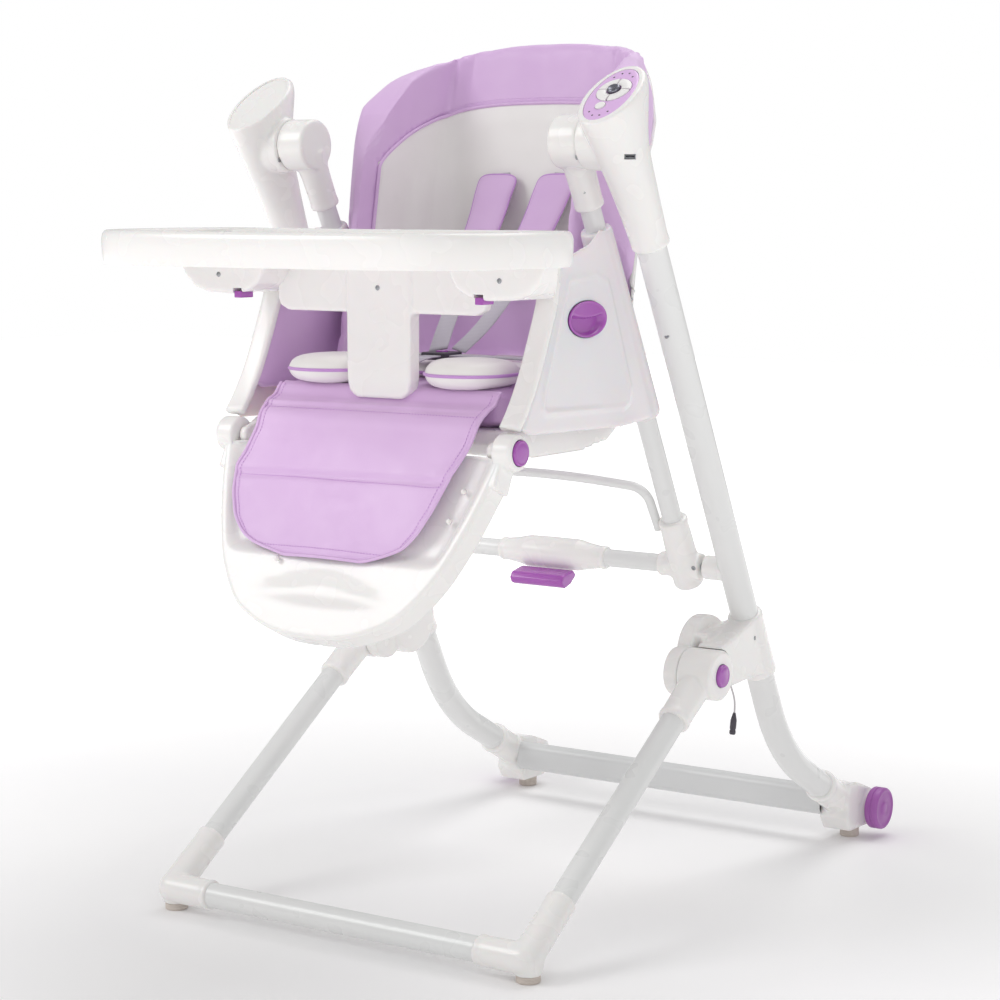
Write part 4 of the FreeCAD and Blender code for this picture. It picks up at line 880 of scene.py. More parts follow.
def makeSwing():
    top = onLine(swingX, hub.z - 8)
    disc = turned([(0, 28.5), (1.5, 30.4), (4, 31), (35, 31), (38.6, 30.6)],
                  (swing["hubInner"], hub.y, hub.z), (1, 0, 0))
    length = (onLine(swingX, swing["armEnd"]) - top).length
    arm = turned([(0, 20), (length - 40, 17.6), (length - 8, 17.0), (length - 6, 17.7), (length - 1, 17.7),
                  (length, 16.6)], top, downLine)
    elbow = organic([disc, arm], 1.7, 9)
    dress(bothSides("swingElbows", elbow), "swingElbows", "swing", "white_plastic", ["swing_elbows"])

    crossY = onLine(0, swing["crossZ"]).y
    high, low = onLine(swingX, swing["bracketTop"]), onLine(swingX, swing["bracketFoot"])
    length = (high - low).length
    sleeve = turned([(0, 17.4), (1.5, 18.6), (6, 18.6), (8, 17.8), (length * 0.5, 19), (length - 4, 19),
                     (length, 16)],
                    high, downLine)
    reach = turned([(0, 14.6), (2, 15.6), (6, 15.6), (8, 14.8), (26, 17), (56, 17), (59, 16)],
                   (swingX - 34, crossY, swing["crossZ"]), (1, 0, 0))
    bracket = organic([sleeve, reach], 1.7, 9)
    dress(bothSides("swingBrackets", bracket), "swingBrackets", "swing", "white_plastic", ["swing_brackets"])

    profile = [(-80, 13.6), (-79, 15.0), (-74, 15.0), (-72, 14.2), (-52, 17.2), (-38, 20.3), (0, 20.8),
               (38, 20.3),
               (52, 17.2), (72, 14.2), (74, 15.0), (79, 15.0), (80, 13.6)]
    barrel = turned(profile, (0, crossY, swing["crossZ"]), (1, 0, 0))
    barrel = organic([barrel], 1.7, 3)
    dress(barrel, "pedalHousing", "swing", "white_plastic", ["pedal_housing"])

    outline = [(crossY - 17, 388), (crossY - 41, 383), (crossY - 45.5, 376), (crossY - 42, 369),
               (crossY - 36, 366.5), (crossY - 22, 371), (crossY - 10, 381)]
    pedal = organic([slabX(outline, -39.5, 39.5)], 1.4, 6)
    ribs = []
    for x in (-24, -12, 0, 12, 24):
        base = Vector((x, crossY - 38, 382.2))
        ribs.append(organic([rod(base, base + Vector((7, 17, 4.2)), 1.6)], 0.8, 2))
    dress(joined("swingPedal", [pedal, *ribs]), "swingPedal", "swing_pedal", "purple_plastic", ["swing_pedal"])


makeSwing()
print("stage: swing made")


# seat: side tubs, front rims, height levers and base pan
seat = {"inner": 206.0, "outer": 209.6, "sleeve": 19.4, "low": 598.0, "high": 824.0, "rimWide": 26.0,
        "rimDeep": 9.8, "leverY": -140.0, "leverZ": 722.0, "leverLong": 40.0, "leverShort": 21.0,
        "embossDeep": 1.4}
rimLine = [(-201, 797), (-203, 788), (-206, 765), (-211, 740), (-228, 700), (-248, 658), (-268, 626),
           (-284, 606)]
embossOutline = [(-182, 772), (-120, 778), (-92, 768), (-84, 752), (-38, 640), (-40, 618), (-56, 610),
                 (-226, 614), (-236, 624), (-232, 650), (-196, 740)]


def makeSeatSides():
    back = [(onLine(0, z).y + 8, z) for z in (600, 822)]
    outline = [(y + 9, z) for y, z in rimLine[1:-1]] + [(-270, 604), (-256, 597), (-60, 592), (-8, 596), *back,
                                                        (onLine(0, 822).y - 16, 823), (-130, 808), (-160, 799)]
    sleeve = turned([(0, 17.2), (2, 18.8), (6, 19.2), (247, 19.4), (251, 18.6), (253, 17)],
                    onLine(swingX, seat["high"]), downLine)
    side = organic([slabX(outline, seat["inner"] - 0.6, seat["outer"]), sleeve], 2.0, 6)

    def emboss(point, normal):
        if normal.x < 0.4 or point.x < 204:
            return point
        depth = inside((point.y, point.z), embossOutline)
        return point + Vector((seat["embossDeep"] * ramp(depth, -1, 6) - 0.9 * ramp(depth, 7, 11), 0, 0))

    moveEach(side, emboss)
    hole = oval((0, seat["leverY"], seat["leverZ"]), (0, 0, seat["leverShort"] + 0.8),
                (0, seat["leverLong"] + 0.8, 0))
    carve(side, loft([[p + Vector((x, 0, 0)) for p in hole] for x in (195, 230)]))
    dress(bothSides("seatSides", side), "seatSides", "seat", "seat_plastic", ["seat_sides"])

    rings = []
    line = smoothLine([(0, y + 4.8, z) for y, z in rimLine], 7)
    for i, centre in enumerate(line):
        ahead = (line[min(i + 1, len(line) - 1)] - line[max(i - 1, 0)]).normalized()
        out = Vector((1, 0, 0)).cross(ahead)
        ring = []
        for k in range(28):
            t = 2 * math.pi * k / 28
            u, v = (math.copysign(abs(f(t)) ** 0.42, f(t)) for f in (math.cos, math.sin))
            ring.append(centre + Vector((swingX + 5 + seat["rimWide"] / 2 * u, 0,
                                         0)) + out * (seat["rimDeep"] / 2 * v))
        rings.append(ring)
    dress(bothSides("seatRims", loft(rings)), "seatRims", "seat", "white_plastic", ["seat_rims"])


def makeLevers():
    for side, name in ((1, "right"), (-1, "left")):
        rings = []
        for share in [1.0, 1.0, 0.985, 0.955, 0.92] + [0.88 - 0.055 * k for k in range(16)]:
            ring = []
            for p in oval((0, 0, 0), (0, 0, seat["leverShort"] * share), (0, seat["leverLong"] * share, 0), 64):
                lip = 3.0 + 5.0 * (p.y / seat["leverLong"]) ** 2
                scoop = ramp(lip - p.z, 0, 3.2) * ramp(0.87 - share, 0, 0.12)
                height = 212.6 - 0.7 * ramp(0.95 - share, 0, 0.05) - 7.4 * scoop
                ring.append(Vector((height, seat["leverY"] + p.y, seat["leverZ"] + p.z)))
            rings.append(ring)
        rings[0] = [p - Vector((2.1, 0, 0)) for p in rings[0]]
        rings[1] = [p - Vector((0.8, 0, 0)) for p in rings[1]]
        under = []        # the cup behind the flange, short enough at the top to slide up in its hole
        for share, x in ((0.8, 203.6), (0.84, 203.9), (0.86, 210.5)):
            cup = oval((0, 0, 0), (0, 0, seat["leverShort"] * share), (0, seat["leverLong"] * share, 0), 64)
            under.append([Vector((x, seat["leverY"] + p.y, seat["leverZ"] + min(p.z, 11))) for p in cup])
        lever = loft(under + rings)
        if side < 0:
            left = otherSide(lever)
            bpy.data.objects.remove(lever)
            lever = left
        dress(lever, f"heightLever_{name}", f"height_lever_{name}", "purple_plastic", [f"height_lever_{name}"])


def makeSeatBase():
    outline = [(-262, 601), (-262, 586), (-250, 571), (-200, 563), (-110, 564), (-50, 574), (-27, 588),
               (-25, 601)]
    pan = slabX(outline, -183.5, 183.5)
    lugs = []
    for side in (-1, 1):
        lug = alongX(middle("footrest_button_right"), side * 172, side * 183.5, 11)
        tie = slabX([(-281, 590), (-258, 600), (-258, 580), (-274, 571)], side * 183.5, side * 172)
        lugs += [lug, tie]
    base = organic([pan, *lugs], 2.8, 7)

    def ribs(point, normal):
        if normal.z > -0.5:
            return point
        rib = sum(1 - ramp(abs(point.x - x), 1.5, 6) for x in (-120, -60, 0, 60, 120))
        return point + Vector((0, 0, 3.5 * (1 - rib) * ramp(inside((point.y, 0.0),
                                                                   [(-240, -50), (-55, -50), (-55, 50),
                                                                                    (-240, 50)]), 0, 12)))

    moveEach(base, ribs)
    dress(base, "seatBase", "seat", "white_plastic", ["seat_base"])


makeSeatSides()
makeLevers()
makeSeatBase()
print("stage: seat shell made")


# soft goods kit
def copyNode(name):
    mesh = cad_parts[name].data.copy()
    shape = bmesh.new()
    shape.from_mesh(mesh)
    bmesh.ops.remove_doubles(shape, verts=shape.verts, dist=1e-6)
    shape.to_mesh(mesh)
    shape.free()
    mesh.materials.clear()
    piece = bpy.data.objects.new("soft", mesh)
    bpy.context.collection.objects.link(piece)
    return piece


def puffed(piece, voxel, cap, rounds=2, pressure=4.0, frames=18, shrink=0.0):
    # remeshed, blown up by a short cloth run with no gravity, then held within cap millimetres
    modify(piece, "REMESH", mode="VOXEL", voxel_size=voxel * millimetre)
    modify(piece, "SMOOTH", factor=0.5, iterations=rounds)
    if shrink:
        moveEach(piece, lambda point, normal: point - normal * shrink)
    start = [v.co.copy() for v in piece.data.vertices]
    cloth = piece.modifiers.new("cloth", "CLOTH")
    cloth.settings.use_pressure, cloth.settings.uniform_pressure_force = True, pressure
    cloth.settings.effector_weights.gravity = 0
    cloth.settings.quality, cloth.settings.mass = 4, 0.3
    cloth.settings.tension_stiffness = cloth.settings.compression_stiffness = 12
    cloth.settings.bending_stiffness = 0.6
    cloth.point_cache.frame_end = frames
    for step in range(1, frames + 1):
        bpy.context.scene.frame_set(step)
    applied(piece)
    for vertex, home in zip(piece.data.vertices, start):
        shift = vertex.co - home
        limit = cap * millimetre
        if shift.length > 1e-9:
            vertex.co = home + shift.normalized() * (limit * math.tanh(shift.length / limit))
    bpy.context.scene.frame_set(1)
    return piece


def rounded(piece, levels=1):
    return modify(piece, "SUBSURF", levels=levels, render_levels=levels)


def seam(piece, lines, deep, wide):        # presses sewn lines into a pad
    dots = [p for line in lines for p in line]
    tree = KDTree(len(dots))
    for i, p in enumerate(dots):
        tree.insert(p, i)
    tree.balance()

    def press(point, normal):
        distance = tree.find(point)[2]
        return point - normal * deep * (1 - ramp(distance, 0, wide)) ** 2 if distance < wide else point

    return moveEach(piece, press)


def onSurface(piece, places, way, lift=0.0):        # drops points on a piece along a direction
    mesh = piece.data
    net = BVHTree.FromPolygons([v.co / millimetre for v in mesh.vertices],
                               [tuple(f.vertices) for f in mesh.polygons])
    found = []
    for place in places:
        hit, normal = net.ray_cast(Vector(place) - Vector(way) * 400, Vector(way))[:2]
        if hit:
            found.append(hit + normal * lift)
    return found


def pillow(outline, low, high, name="pillow"):
    # a lens-shaped pad from a closed (x, y) outline, its seam halfway up
    half, mid = (high - low) / 2, (high + low) / 2
    centre = sum((Vector((x, y)) for x, y in outline), Vector((0, 0))) / len(outline)
    line = smoothLine([(x, y, 0) for x, y in outline], 5, closed=True)
    rings = []
    shares = [(0.0, 1.0), (0.30, 0.975), (0.6, 0.91), (0.82, 0.79), (0.95, 0.58), (1.0, 0.3)]
    for up, share in [(-u, s) for u, s in reversed(shares)] + shares[1:]:
        rings.append([Vector((centre.x + (p.x - centre.x) * share, centre.y + (p.y - centre.y) * share,
                              mid + half * up)) for p in line])
    return loft(rings, name), [Vector((p.x, p.y, mid)) for p in line]


# seat cushion, insert cushion with its leg pillows, side liners
cushions = {"voxel": 6.0, "cap": 7.0, "pillowLow": 641.5, "pillowHigh": 677.0, "piping": 2.0}
pillowOutline = [(53, -240), (72, -259), (100, -266), (132, -256), (149, -232), (150, -196), (138, -168),
                 (104, -152), (66, -152), (44, -172), (36, -208)]
linerOutline = [(-190, 786), (-196, 762), (-202, 738), (-219, 698), (-240, 656), (-250, 640), (-230, 632),
                (-60, 632),
                (-34, 640), (-42, 660), (-78, 728), (-96, 770), (-112, 792), (-150, 792)]


def makeCushions():
    pad = puffed(copyNode("seat_cushion"), cushions["voxel"], cushions["cap"], shrink=2.0)
    rounded(pad)
    dress(pad, "seatCushion", "seat", "lilac_leatherette", ["seat_cushion"])

    back = pillow([(-128, -140), (0, -148), (128, -140), (136, -92), (124, -44), (70, -34), (-70, -34),
                   (-124, -44),
                   (-136, -92)], 642, 663)
    leg = pillow(pillowOutline, cushions["pillowLow"], cushions["pillowHigh"])
    legs = [leg[0], otherSide(leg[0])]
    body = joined("insert", [back[0], *legs])
    rounded(body)
    dress(body, "insertCushion", "seat", "white_leatherette", ["insert_cushion"])
    pipings = [tubeAlong(leg[1][::3], cushions["piping"], closed=True),
               tubeAlong([Vector((-p.x, p.y, p.z)) for p in leg[1][::3]], cushions["piping"], closed=True),
               tubeAlong(back[1][::3], cushions["piping"], closed=True)]
    dress(joined("insertPiping", pipings), "insertPiping", "seat", "purple_leatherette")

    liner = organic([slabX(linerOutline, 190, 200)], 3.2, 6)
    liner = bothSides("liner", liner)
    dress(liner, "sideLiners", "seat", "lilac_leatherette")
    edge = [(201.0 - 12, y - 1.5, z) for y, z in linerOutline[:6]]
    edge = smoothLine(edge, 3)
    pipe = tubeAlong(edge, 2.4)
    dress(bothSides("linerPiping", pipe), "linerPiping", "seat", "purple_leatherette")


def makeHarness():
    top = 669.0
    webs = [ribbon([(150, -120, 668), (120, -126, 672), (60, -130, 673), (16, -131, 673)], (0, 1, 0), 25, 1.8),
            ribbon([(0, -146, 673), (0, -180, 671), (0, -214, 662), (0, -232, 648)], (1, 0, 0), 25, 1.8)]
    webs.append(otherSide(webs[0]))
    dress(joined("lapStraps", webs), "lapStraps", "seat", "grey_webbing")
    buckle = organic([slabY([(-17, 0), (17, 0), (19, 4), (19, 34), (14, 38), (-14, 38), (-19, 34),
                             (-19, 4)], 0, 10)],
                     1.3, 5)
    for vertex in buckle.data.vertices:
        x, y, z = vertex.co / millimetre
        vertex.co = Vector((x, -150 + z, top - 1 + y * 0.9)) * millimetre
    shape = bmesh.new()
    shape.from_mesh(buckle.data)
    bmesh.ops.recalc_face_normals(shape, faces=shape.faces)
    shape.to_mesh(buckle.data)
    shape.free()
    dress(buckle, "harnessBuckle", "seat", "dark_plastic", ["harness"])
    button = turned([(0, 7.5), (1.6, 7.5), (2.4, 6.8), (2.7, 4), (2.4, 0)], (0, -131, top + 7.2), (0, 0, 1),
                    sides=32)
    dress(button, "buckleButton", "seat", "purple_plastic")


makeCushions()
makeHarness()
print("stage: seat cushions and harness made")

# backrest: shell, padded cover, white panel, shoulder pads, straps, release lever
back = {"foot": 655.0, "top": 1058.0, "lean": 0.18, "shift": -45.0, "half": 207.0,
        "panelReach": 268.0, "panelFoot": 742.0, "panelPuff": 5.0, "piping": 2.2,
        "arch": [(0, 977), (60, 976), (110, 971), (165, 958), (218, 936), (262, 905), (284, 868)],
        "wingTop": [(-95, 884), (-77, 915), (-40, 963), (11, 1012), (60, 1042), (106, 1058)]}
shellPlan = [(206, -8), (205, 20), (204, 41), (190, 64), (163, 87), (128, 97), (91, 101), (45, 102.7), (0, 103)]
coverPlan = [(150, -95), (149, -40), (148, 20), (145, 52), (135, 64), (110, 70), (56, 73), (0, 74)]


def leaned(x, y, z):
    return Vector((x, y + back["shift"] + (z - back["foot"]) * back["lean"], z))


def between(table, value):        # straight lines through (value, height) pairs
    for (a, low), (b, high) in zip(table, table[1:]):
        if value <= b:
            return low + (high - low) * max(value - a, 0) / (b - a)
    return table[-1][1]


def shaped(p):        # rear corners of the backrest drawn in, and its wings lowered towards the front
    depth = p.y - back["shift"] - (p.z - back["foot"]) * back["lean"]
    side = math.copysign(1, p.x)
    corner = ramp(abs(p.x), 95, 165) * ramp(depth, -10, 60)
    low, high = 1 - ramp(p.z, 860, 960), ramp(p.z, 870, 985)
    x = p.x - side * corner * (14 * low + 15 * high)
    y = p.y - 32 * corner * low - 4 * corner * high
    over, wing = p.z - between(back["wingTop"], p.y) + 24, ramp(abs(p.x), 100, 146)
    z = p.z - wing * (over - 24 + 24 * math.exp(-over / 24)) if over > 0 else p.z
    return Vector((x, y, z))


def topAt(x, inset):        # height of the rounded top outline over x
    w, top, reach = back["half"] - inset, back["top"] - inset, abs(x)
    if reach <= w - 62:
        return top - 15 * (reach / (w - 62)) ** 2
    t = min((reach - (w - 62)) / 62, 1)
    return top - 15 - 115 * (1 - math.sqrt(max(1 - t * t, 0))) - 8 * t


def makeShell():
    plan = smoothLine([(x, y, 0) for x, y in shellPlan], 5)
    plan = plan + [Vector((-p.x, p.y, 0)) for p in reversed(plan[:-1])]
    rows, count = [], 46
    for row in range(count + 1):
        line = []
        for p in plan:
            low, high = back["foot"] - 10, topAt(p.x, 16) - 1.5 * max(60 - p.y, 0) * ramp(abs(p.x), 150, 190)
            z = low + (high - low) * row / count
            place = leaned(p.x, p.y, z)
            limit = onLine(0, z).y + 29
            if abs(place.x) > 168 and place.y < limit:
                place.y = limit
            line.append(shaped(place))
        rows.append(line)
    width = len(plan)
    faces = [(r * width + i, r * width + i + 1, (r + 1) * width + i + 1, (r + 1) * width + i)
             for r in range(count) for i in range(width - 1)]
    shell = addMesh("shell", [p for row in rows for p in row], faces)
    middlePoint = shell.data.vertices[(count // 2) * width + width // 2]
    side = 1 if middlePoint.normal.y > 0 else -1

    def ribs(point, normal):
        height = (point.z - back["foot"]) / (back["top"] - back["foot"])
        panelEdge = 1 - ramp(abs(abs(point.x) - 96), 2, 9)
        across = 1 - ramp(abs(height - 0.42), 0.01, 0.03)
        return point - Vector((0, 1.6, 0)) * max(panelEdge * ramp(0.85 - height, 0, 0.1), 0.0) - \
            Vector((0, 1.2, 0)) * across * (1 - ramp(abs(point.x), 84, 94))

    moveEach(shell, ribs)
    modify(shell, "SOLIDIFY", thickness=3.6 * millimetre, offset=-side, use_even_offset=False)
    pin = Vector((0, onLine(0, middle("seat_sides").z).y, 620))
    pin.y = onLine(0, 620).y
    arms = []
    for s in (-1, 1):
        outline = [(pin.y - 9, 612), (pin.y + 10, 610), (54, 642), (54, 664), (36, 652), (pin.y - 7, 628)]
        arms.append(organic([slabX(outline, s * 158, s * 170), alongX(pin, s * 158, s * 170, 11)], 1.8, 5))
    dress(joined("backShell", [shell, *arms]), "backShell", "backrest", "white_plastic", ["backrest_shell"])
    lever = organic([slabY([(-48, 838), (48, 838), (46, 826), (39, 808), (20, 801), (-20, 801), (-39, 808),
                            (-46, 826)], 101.5, 111.5)], 1.6, 6)
    dress(lever, "reclineLever", "recline_lever", "purple_plastic", ["recline_lever"])


def archAt(reach):        # top edge of the white panel along the cover, by distance from the middle
    return between(back["arch"], abs(reach))


def raiseAbove(piece, rows, outs, gap):        # lifts a grid of points clear of a padded piece, smoothly
    net = BVHTree.FromPolygons([v.co / millimetre for v in piece.data.vertices],
                               [tuple(f.vertices) for f in piece.data.polygons])
    lifts = []
    for line, ways in zip(rows, outs):
        hits = [net.ray_cast(p + way * 24, -way, 48)[0] for p, way in zip(line, ways)]
        lifts.append([max((hit - p).dot(way) + gap, 0.0) if hit else 0.0 for p, way,
                      hit in zip(line, ways, hits)])
    need = lifts
    for _ in range(6):
        soft = []
        for r, line in enumerate(lifts):
            above, below = lifts[max(r - 1, 0)], lifts[min(r + 1, len(lifts) - 1)]
            soft.append([max(need[r][i],
                             (line[max(i - 1, 0)] + line[min(i + 1, len(line) - 1)] + above[i] + below[i]) / 4)
                         for i in range(len(line))])
        lifts = soft
    for line, ways, amounts in zip(rows, outs, lifts):
        for i, amount in enumerate(amounts):
            line[i] = line[i] + ways[i] * amount


def makeBackPad():
    pad = puffed(copyNode("backrest_pad"), 5.6, 6.0, rounds=3, shrink=2.2)
    rounded(pad)
    moveEach(pad, lambda point, normal: shaped(point))
    plan = smoothLine([(x, y, 0) for x, y in coverPlan], 6)
    plan = plan + [Vector((-p.x, p.y, 0)) for p in reversed(plan[:-1])]
    run = [0.0]
    for a, b in zip(plan, plan[1:]):
        run.append(run[-1] + (b - a).length)
    half = run[-1] / 2
    run = [r - half for r in run]
    kept = [(p, r) for p, r in zip(plan, run) if abs(r) <= back["panelReach"]]
    arch = [shaped(leaned(p.x, p.y, archAt(r))) for p, r in kept]
    upright = [[shaped(leaned(s * 138, 64, z)) for z in range(960, 1048, 4)] for s in (-1, 1)]
    overTop = [[shaped(leaned(s * 138, y, 1040)) for y in range(64, 98, 4)] for s in (-1, 1)]
    seam(pad, [arch, *upright, *overTop], 3.2, 8.0)
    dress(pad, "backPad", "backrest", "lilac_leatherette", ["backrest_pad"])

    rowsUp, rows, outs = 40, [], []
    for row in range(rowsUp + 1):
        line, ways = [], []
        for i, (p, r) in enumerate(kept):
            low, high = back["panelFoot"], archAt(r)
            z = low + (high - low) * row / rowsUp
            before, after = kept[max(i - 1, 0)][0], kept[min(i + 1, len(kept) - 1)][0]
            way = (after - before).normalized()
            out = Vector((way.y, -way.x, 0))
            if out.y > 0 and abs(out.y) > abs(out.x) or (abs(out.x) >= abs(out.y) and out.x * p.x > 0):
                out = -out
            edge = min(back["panelReach"] - abs(r), z - low, high - z)
            puff = 0.6 + back["panelPuff"] * ramp(edge, -4, 26)
            line.append(shaped(leaned(p.x, p.y, z)) + out * puff)
            ways.append(out)
        rows.append(line)
        outs.append(ways)
    width = len(kept)
    raiseAbove(pad, rows, outs, 2.4)
    faces = [(r * width + i, r * width + i + 1, (r + 1) * width + i + 1, (r + 1) * width + i)
             for r in range(rowsUp) for i in range(width - 1)]
    panelPiece = addMesh("panel", [p for row in rows for p in row], faces)
    centre = panelPiece.data.vertices[(rowsUp // 2) * width + width // 2]
    side = 1 if centre.normal.y < 0 else -1
    modify(panelPiece, "SOLIDIFY", thickness=5 * millimetre, offset=-side, use_even_offset=False)
    dress(panelPiece, "backPanel", "backrest", "white_leatherette")
    edge = ([rows[0][0]] + [row[0] for row in rows[1::4]] + rows[-1][1:-1:3]
            + [row[-1] for row in rows[::-4]] + [rows[0][-1]])
    dress(tubeAlong(edge, back["piping"]), "backPiping", "backrest", "lilac_leatherette")
    above = [p + Vector((0, -1.6, 6.5)) for p in rows[-1][2:-2]]
    stitches("backStitches", [onSurface(pad, above, (0, 1, 0), 0.2)], "backrest", "lilac_leatherette")


def makeShoulderPads():
    pads, webs, edges = [], [], []
    for side in (-1, 1):
        outline = [(side * 45 + u, v) for u, v in ((-27, 0), (-28, 30), (-28, 80), (-26, 104), (0, 108),
                                                   (26, 104),
                                                   (28, 80), (28, 30), (27, 0), (0, -4))]
        pad, line = pillow(outline, 0, 8.5)

        def hang(point):        # the pads leave the cover at their slots and run forwards and down
            x, up, thick = point[0], point[1], point[2]
            drop = 106 - up
            forward = 46 * (1 - math.cos(min(drop / 106, 1) * math.pi / 2)) + 8 * ramp(drop, 0, 30)
            base = leaned(0, 62, 884 - drop * 0.93)
            return Vector((x * (1 - 0.0016 * drop), base.y - forward - thick * 0.82, base.z + thick * 0.5))

        for vertex in pad.data.vertices:
            vertex.co = hang(vertex.co / millimetre) * millimetre
        shape = bmesh.new()
        shape.from_mesh(pad.data)
        bmesh.ops.recalc_face_normals(shape, faces=shape.faces)
        shape.to_mesh(pad.data)
        shape.free()
        pads.append(pad)
        edges.append(tubeAlong([hang(p) for p in line[::2]], 1.3, closed=True))
        webs.append(ribbon([leaned(side * 45, 71, 893), leaned(side * 45, 66, 886), leaned(side * 44, 62, 850),
                            leaned(side * 42, 40, 810), leaned(side * 40, 12, 782), (side * 36, -44, 745),
                            (side * 27, -84, 706), (side * 15, -118, 678)], (1, 0, 0), 25, 1.8))
    body = joined("pads", pads)
    dress(body, "shoulderPads", "backrest", "lilac_leatherette", ["shoulder_pads"])
    dress(joined("edges", edges), "shoulderPiping", "backrest", "purple_leatherette")
    start, end = Vector((0, 0.0085, 0.700)), Vector((0, 0.02, 0.79))
    dress(joined("webs", webs), "shoulderStraps", None, "grey_webbing", blend=("seat", "backrest", start, end))


makeShell()
makeBackPad()
makeShoulderPads()
print("stage: backrest made")


# footrest and its apron
footrest = {"lean": math.radians(26.0), "length": 240.0, "front": -12.0, "back": 20.0,
            "rimWide": 11.0, "floor": 8.5}
footrestHalf = [(199, -8), (197, -24), (188, -62), (174, -108), (152, -160), (120, -203), (88, -223),
                (46, -237), (0, -240)]
pivotFoot = middle("footrest_button_right")
pivotFoot.x = 0


def onFootrest(x, y, z):        # footrest's own frame to the chair's: z runs up its plane, y into it
    turn = footrest["lean"]
    return pivotFoot + Vector((x, y * math.cos(turn) + z * math.sin(turn),
                               -y * math.sin(turn) + z * math.cos(turn)))


def makeFootrest():
    half = smoothLine([(x, z, 0) for x, z in footrestHalf], 8)
    outline = [(p.x, p.y) for p in half] + [(-p.x, p.y) for p in reversed(half[:-1])]
    outline = [(outline[0][0], 60)] + outline + [(outline[-1][0], 60)]

    def frontAt(x, z):
        depth = inside((x, z), outline)
        y = footrest["front"] + 3.2 * (1 - ramp(depth, 0, 4.5)) ** 2
        y += footrest["floor"] * ramp(depth, footrest["rimWide"], footrest["rimWide"] + 9) * ramp(z, -150, -128)
        leafTop = -154 - 0.002 * (x + 37) ** 2
        leafLow = -212 + 0.0016 * (x - 15) ** 2
        leaf = ramp(leafTop - z, 0, 16) * ramp(z - leafLow, 0, 30) * (1 - ramp(abs(x + 12), 92, 124))
        return y + 5.5 * leaf

    def rowAt(z, wide):
        section = []
        fractions = [0, 0.2, 0.4, 0.6, 0.75, 0.84, 0.89, 0.93, 0.96, 0.98, 0.992, 1.0]
        backSide = [(f * (wide - 6), footrest["back"] - 3.4) for f in (0, 0.5, 0.9, 1.0)]
        wall = [(wide - 5, footrest["back"] - 0.6), (wide - 3.6, footrest["back"]),
                (wide - 1.2, footrest["back"]),
                (wide, footrest["back"] - 1.4), (wide, 10), (wide, 2), (wide, footrest["front"] + 4.2)]
        front = [(wide * f, frontAt(wide * f, z)) for f in reversed(fractions)]
        for x, y in backSide + wall + front:
            section.append((max(x, 0.0), y))
        mirrorPart = [(-x, y) for x, y in reversed(section[1:-1])]
        return [onFootrest(x, y, z) for x, y in section + mirrorPart]

    rows = []
    steps = 64
    curve = [(p.x, p.y) for p in half]
    for k in range(steps + 1):
        z = -9 - (footrest["length"] - 9.3) * math.sin(math.pi / 2 * (k / steps) ** 0.9)
        wide = next((ax + (bx - ax) * (az - z) / (az - bz) for (ax, az), (bx, bz) in zip(curve, curve[1:])
                     if az >= z >= bz and az != bz), 0.5)
        rows.append(rowAt(z, max(wide, 8)))
    body = loft(rows)
    body = rounded(body)
    lobes = []
    for side in (-1, 1):
        lobe = turned([(0, 19.5), (1.5, 21), (22.5, 21), (25, 20), (26, 18)],
                      pivotFoot + Vector((side * 186, 0, 0)),
                      (side, 0, 0))
        neck = addMesh("neck", [onFootrest(side * x, y, z) for x in (187, 198.5) for y, z in
                                ((-11.5, 4), (17, 4), (19, -46), (-11.5, -46))],
                       [(0, 1, 2, 3), (7, 6, 5, 4), (0, 4, 5, 1), (1, 5, 6, 2), (2, 6, 7, 3), (3, 7, 4, 0)])
        lobes.append(organic([lobe, neck], 1.8, 7))
    lobes = joined("lobes", lobes)
    carve(lobes, alongX(pivotFoot, 204.5, 220, 15.4))
    carve(lobes, alongX(pivotFoot, -220, -204.5, 15.4))
    dress(joined("footrestShell", [body, lobes]), "footrestShell", "footrest", "white_plastic",
          ["footrest_shell"])
    pegs = [turned([(0, 3.2), (3, 3.2), (4.4, 2.4), (5, 1.2)], onFootrest(x, y, z), (0, -1, 0), sides=20)
            for x, y, z in ((158, -8, -52), (150, -9, -88), (-68, -15, -152), (-158, -8, -52))]
    dress(joined("pegs", pegs), "apronPegs", "footrest", "white_plastic")
    for side, name in ((1, "right"), (-1, "left")):
        cap = turned([(0, 14.5), (5.0, 14.5), (5.9, 14), (6.4, 12.6), (6.0, 12), (6.2, 11), (6.5, 6), (6.5, 0)],
                     pivotFoot + Vector((side * 209, 0, 0)), (side, 0, 0), sides=48)
        dress(cap, f"footrestButton_{name}", f"footrest_button_{name}", "purple_plastic",
              [f"footrest_button_{name}"])


apron = {"thick": 3.0, "top": [(-236, 643.5), (-245, 639), (-253, 629), (-263, 624.5), (-272, 621.5)],
         "lift": -17.5,
         "left": [(60, 156), (30, 153), (4, 152), (-22, 158), (-46, 167), (-74, 160), (-104, 147), (-126, 128),
                  (-139, 100), (-145, 66)],
         "right": [(60, 160), (30, 160), (4, 157), (-22, 150), (-50, 140), (-78, 134), (-104, 124), (-126, 106),
                   (-139, 80), (-145, 52)],
         "low": -147.0, "seamAt": (38, -50), "piping": 2.0}


def alongTable(table, z):
    for (za, xa), (zb, xb) in zip(table, table[1:]):
        if za >= z >= zb:
            t = (za - z) / (za - zb)
            return xa + (xb - xa) * (t * t * (3 - 2 * t) * 0.35 + t * 0.65)
    return table[0][1] if z > table[0][0] else table[-1][1]


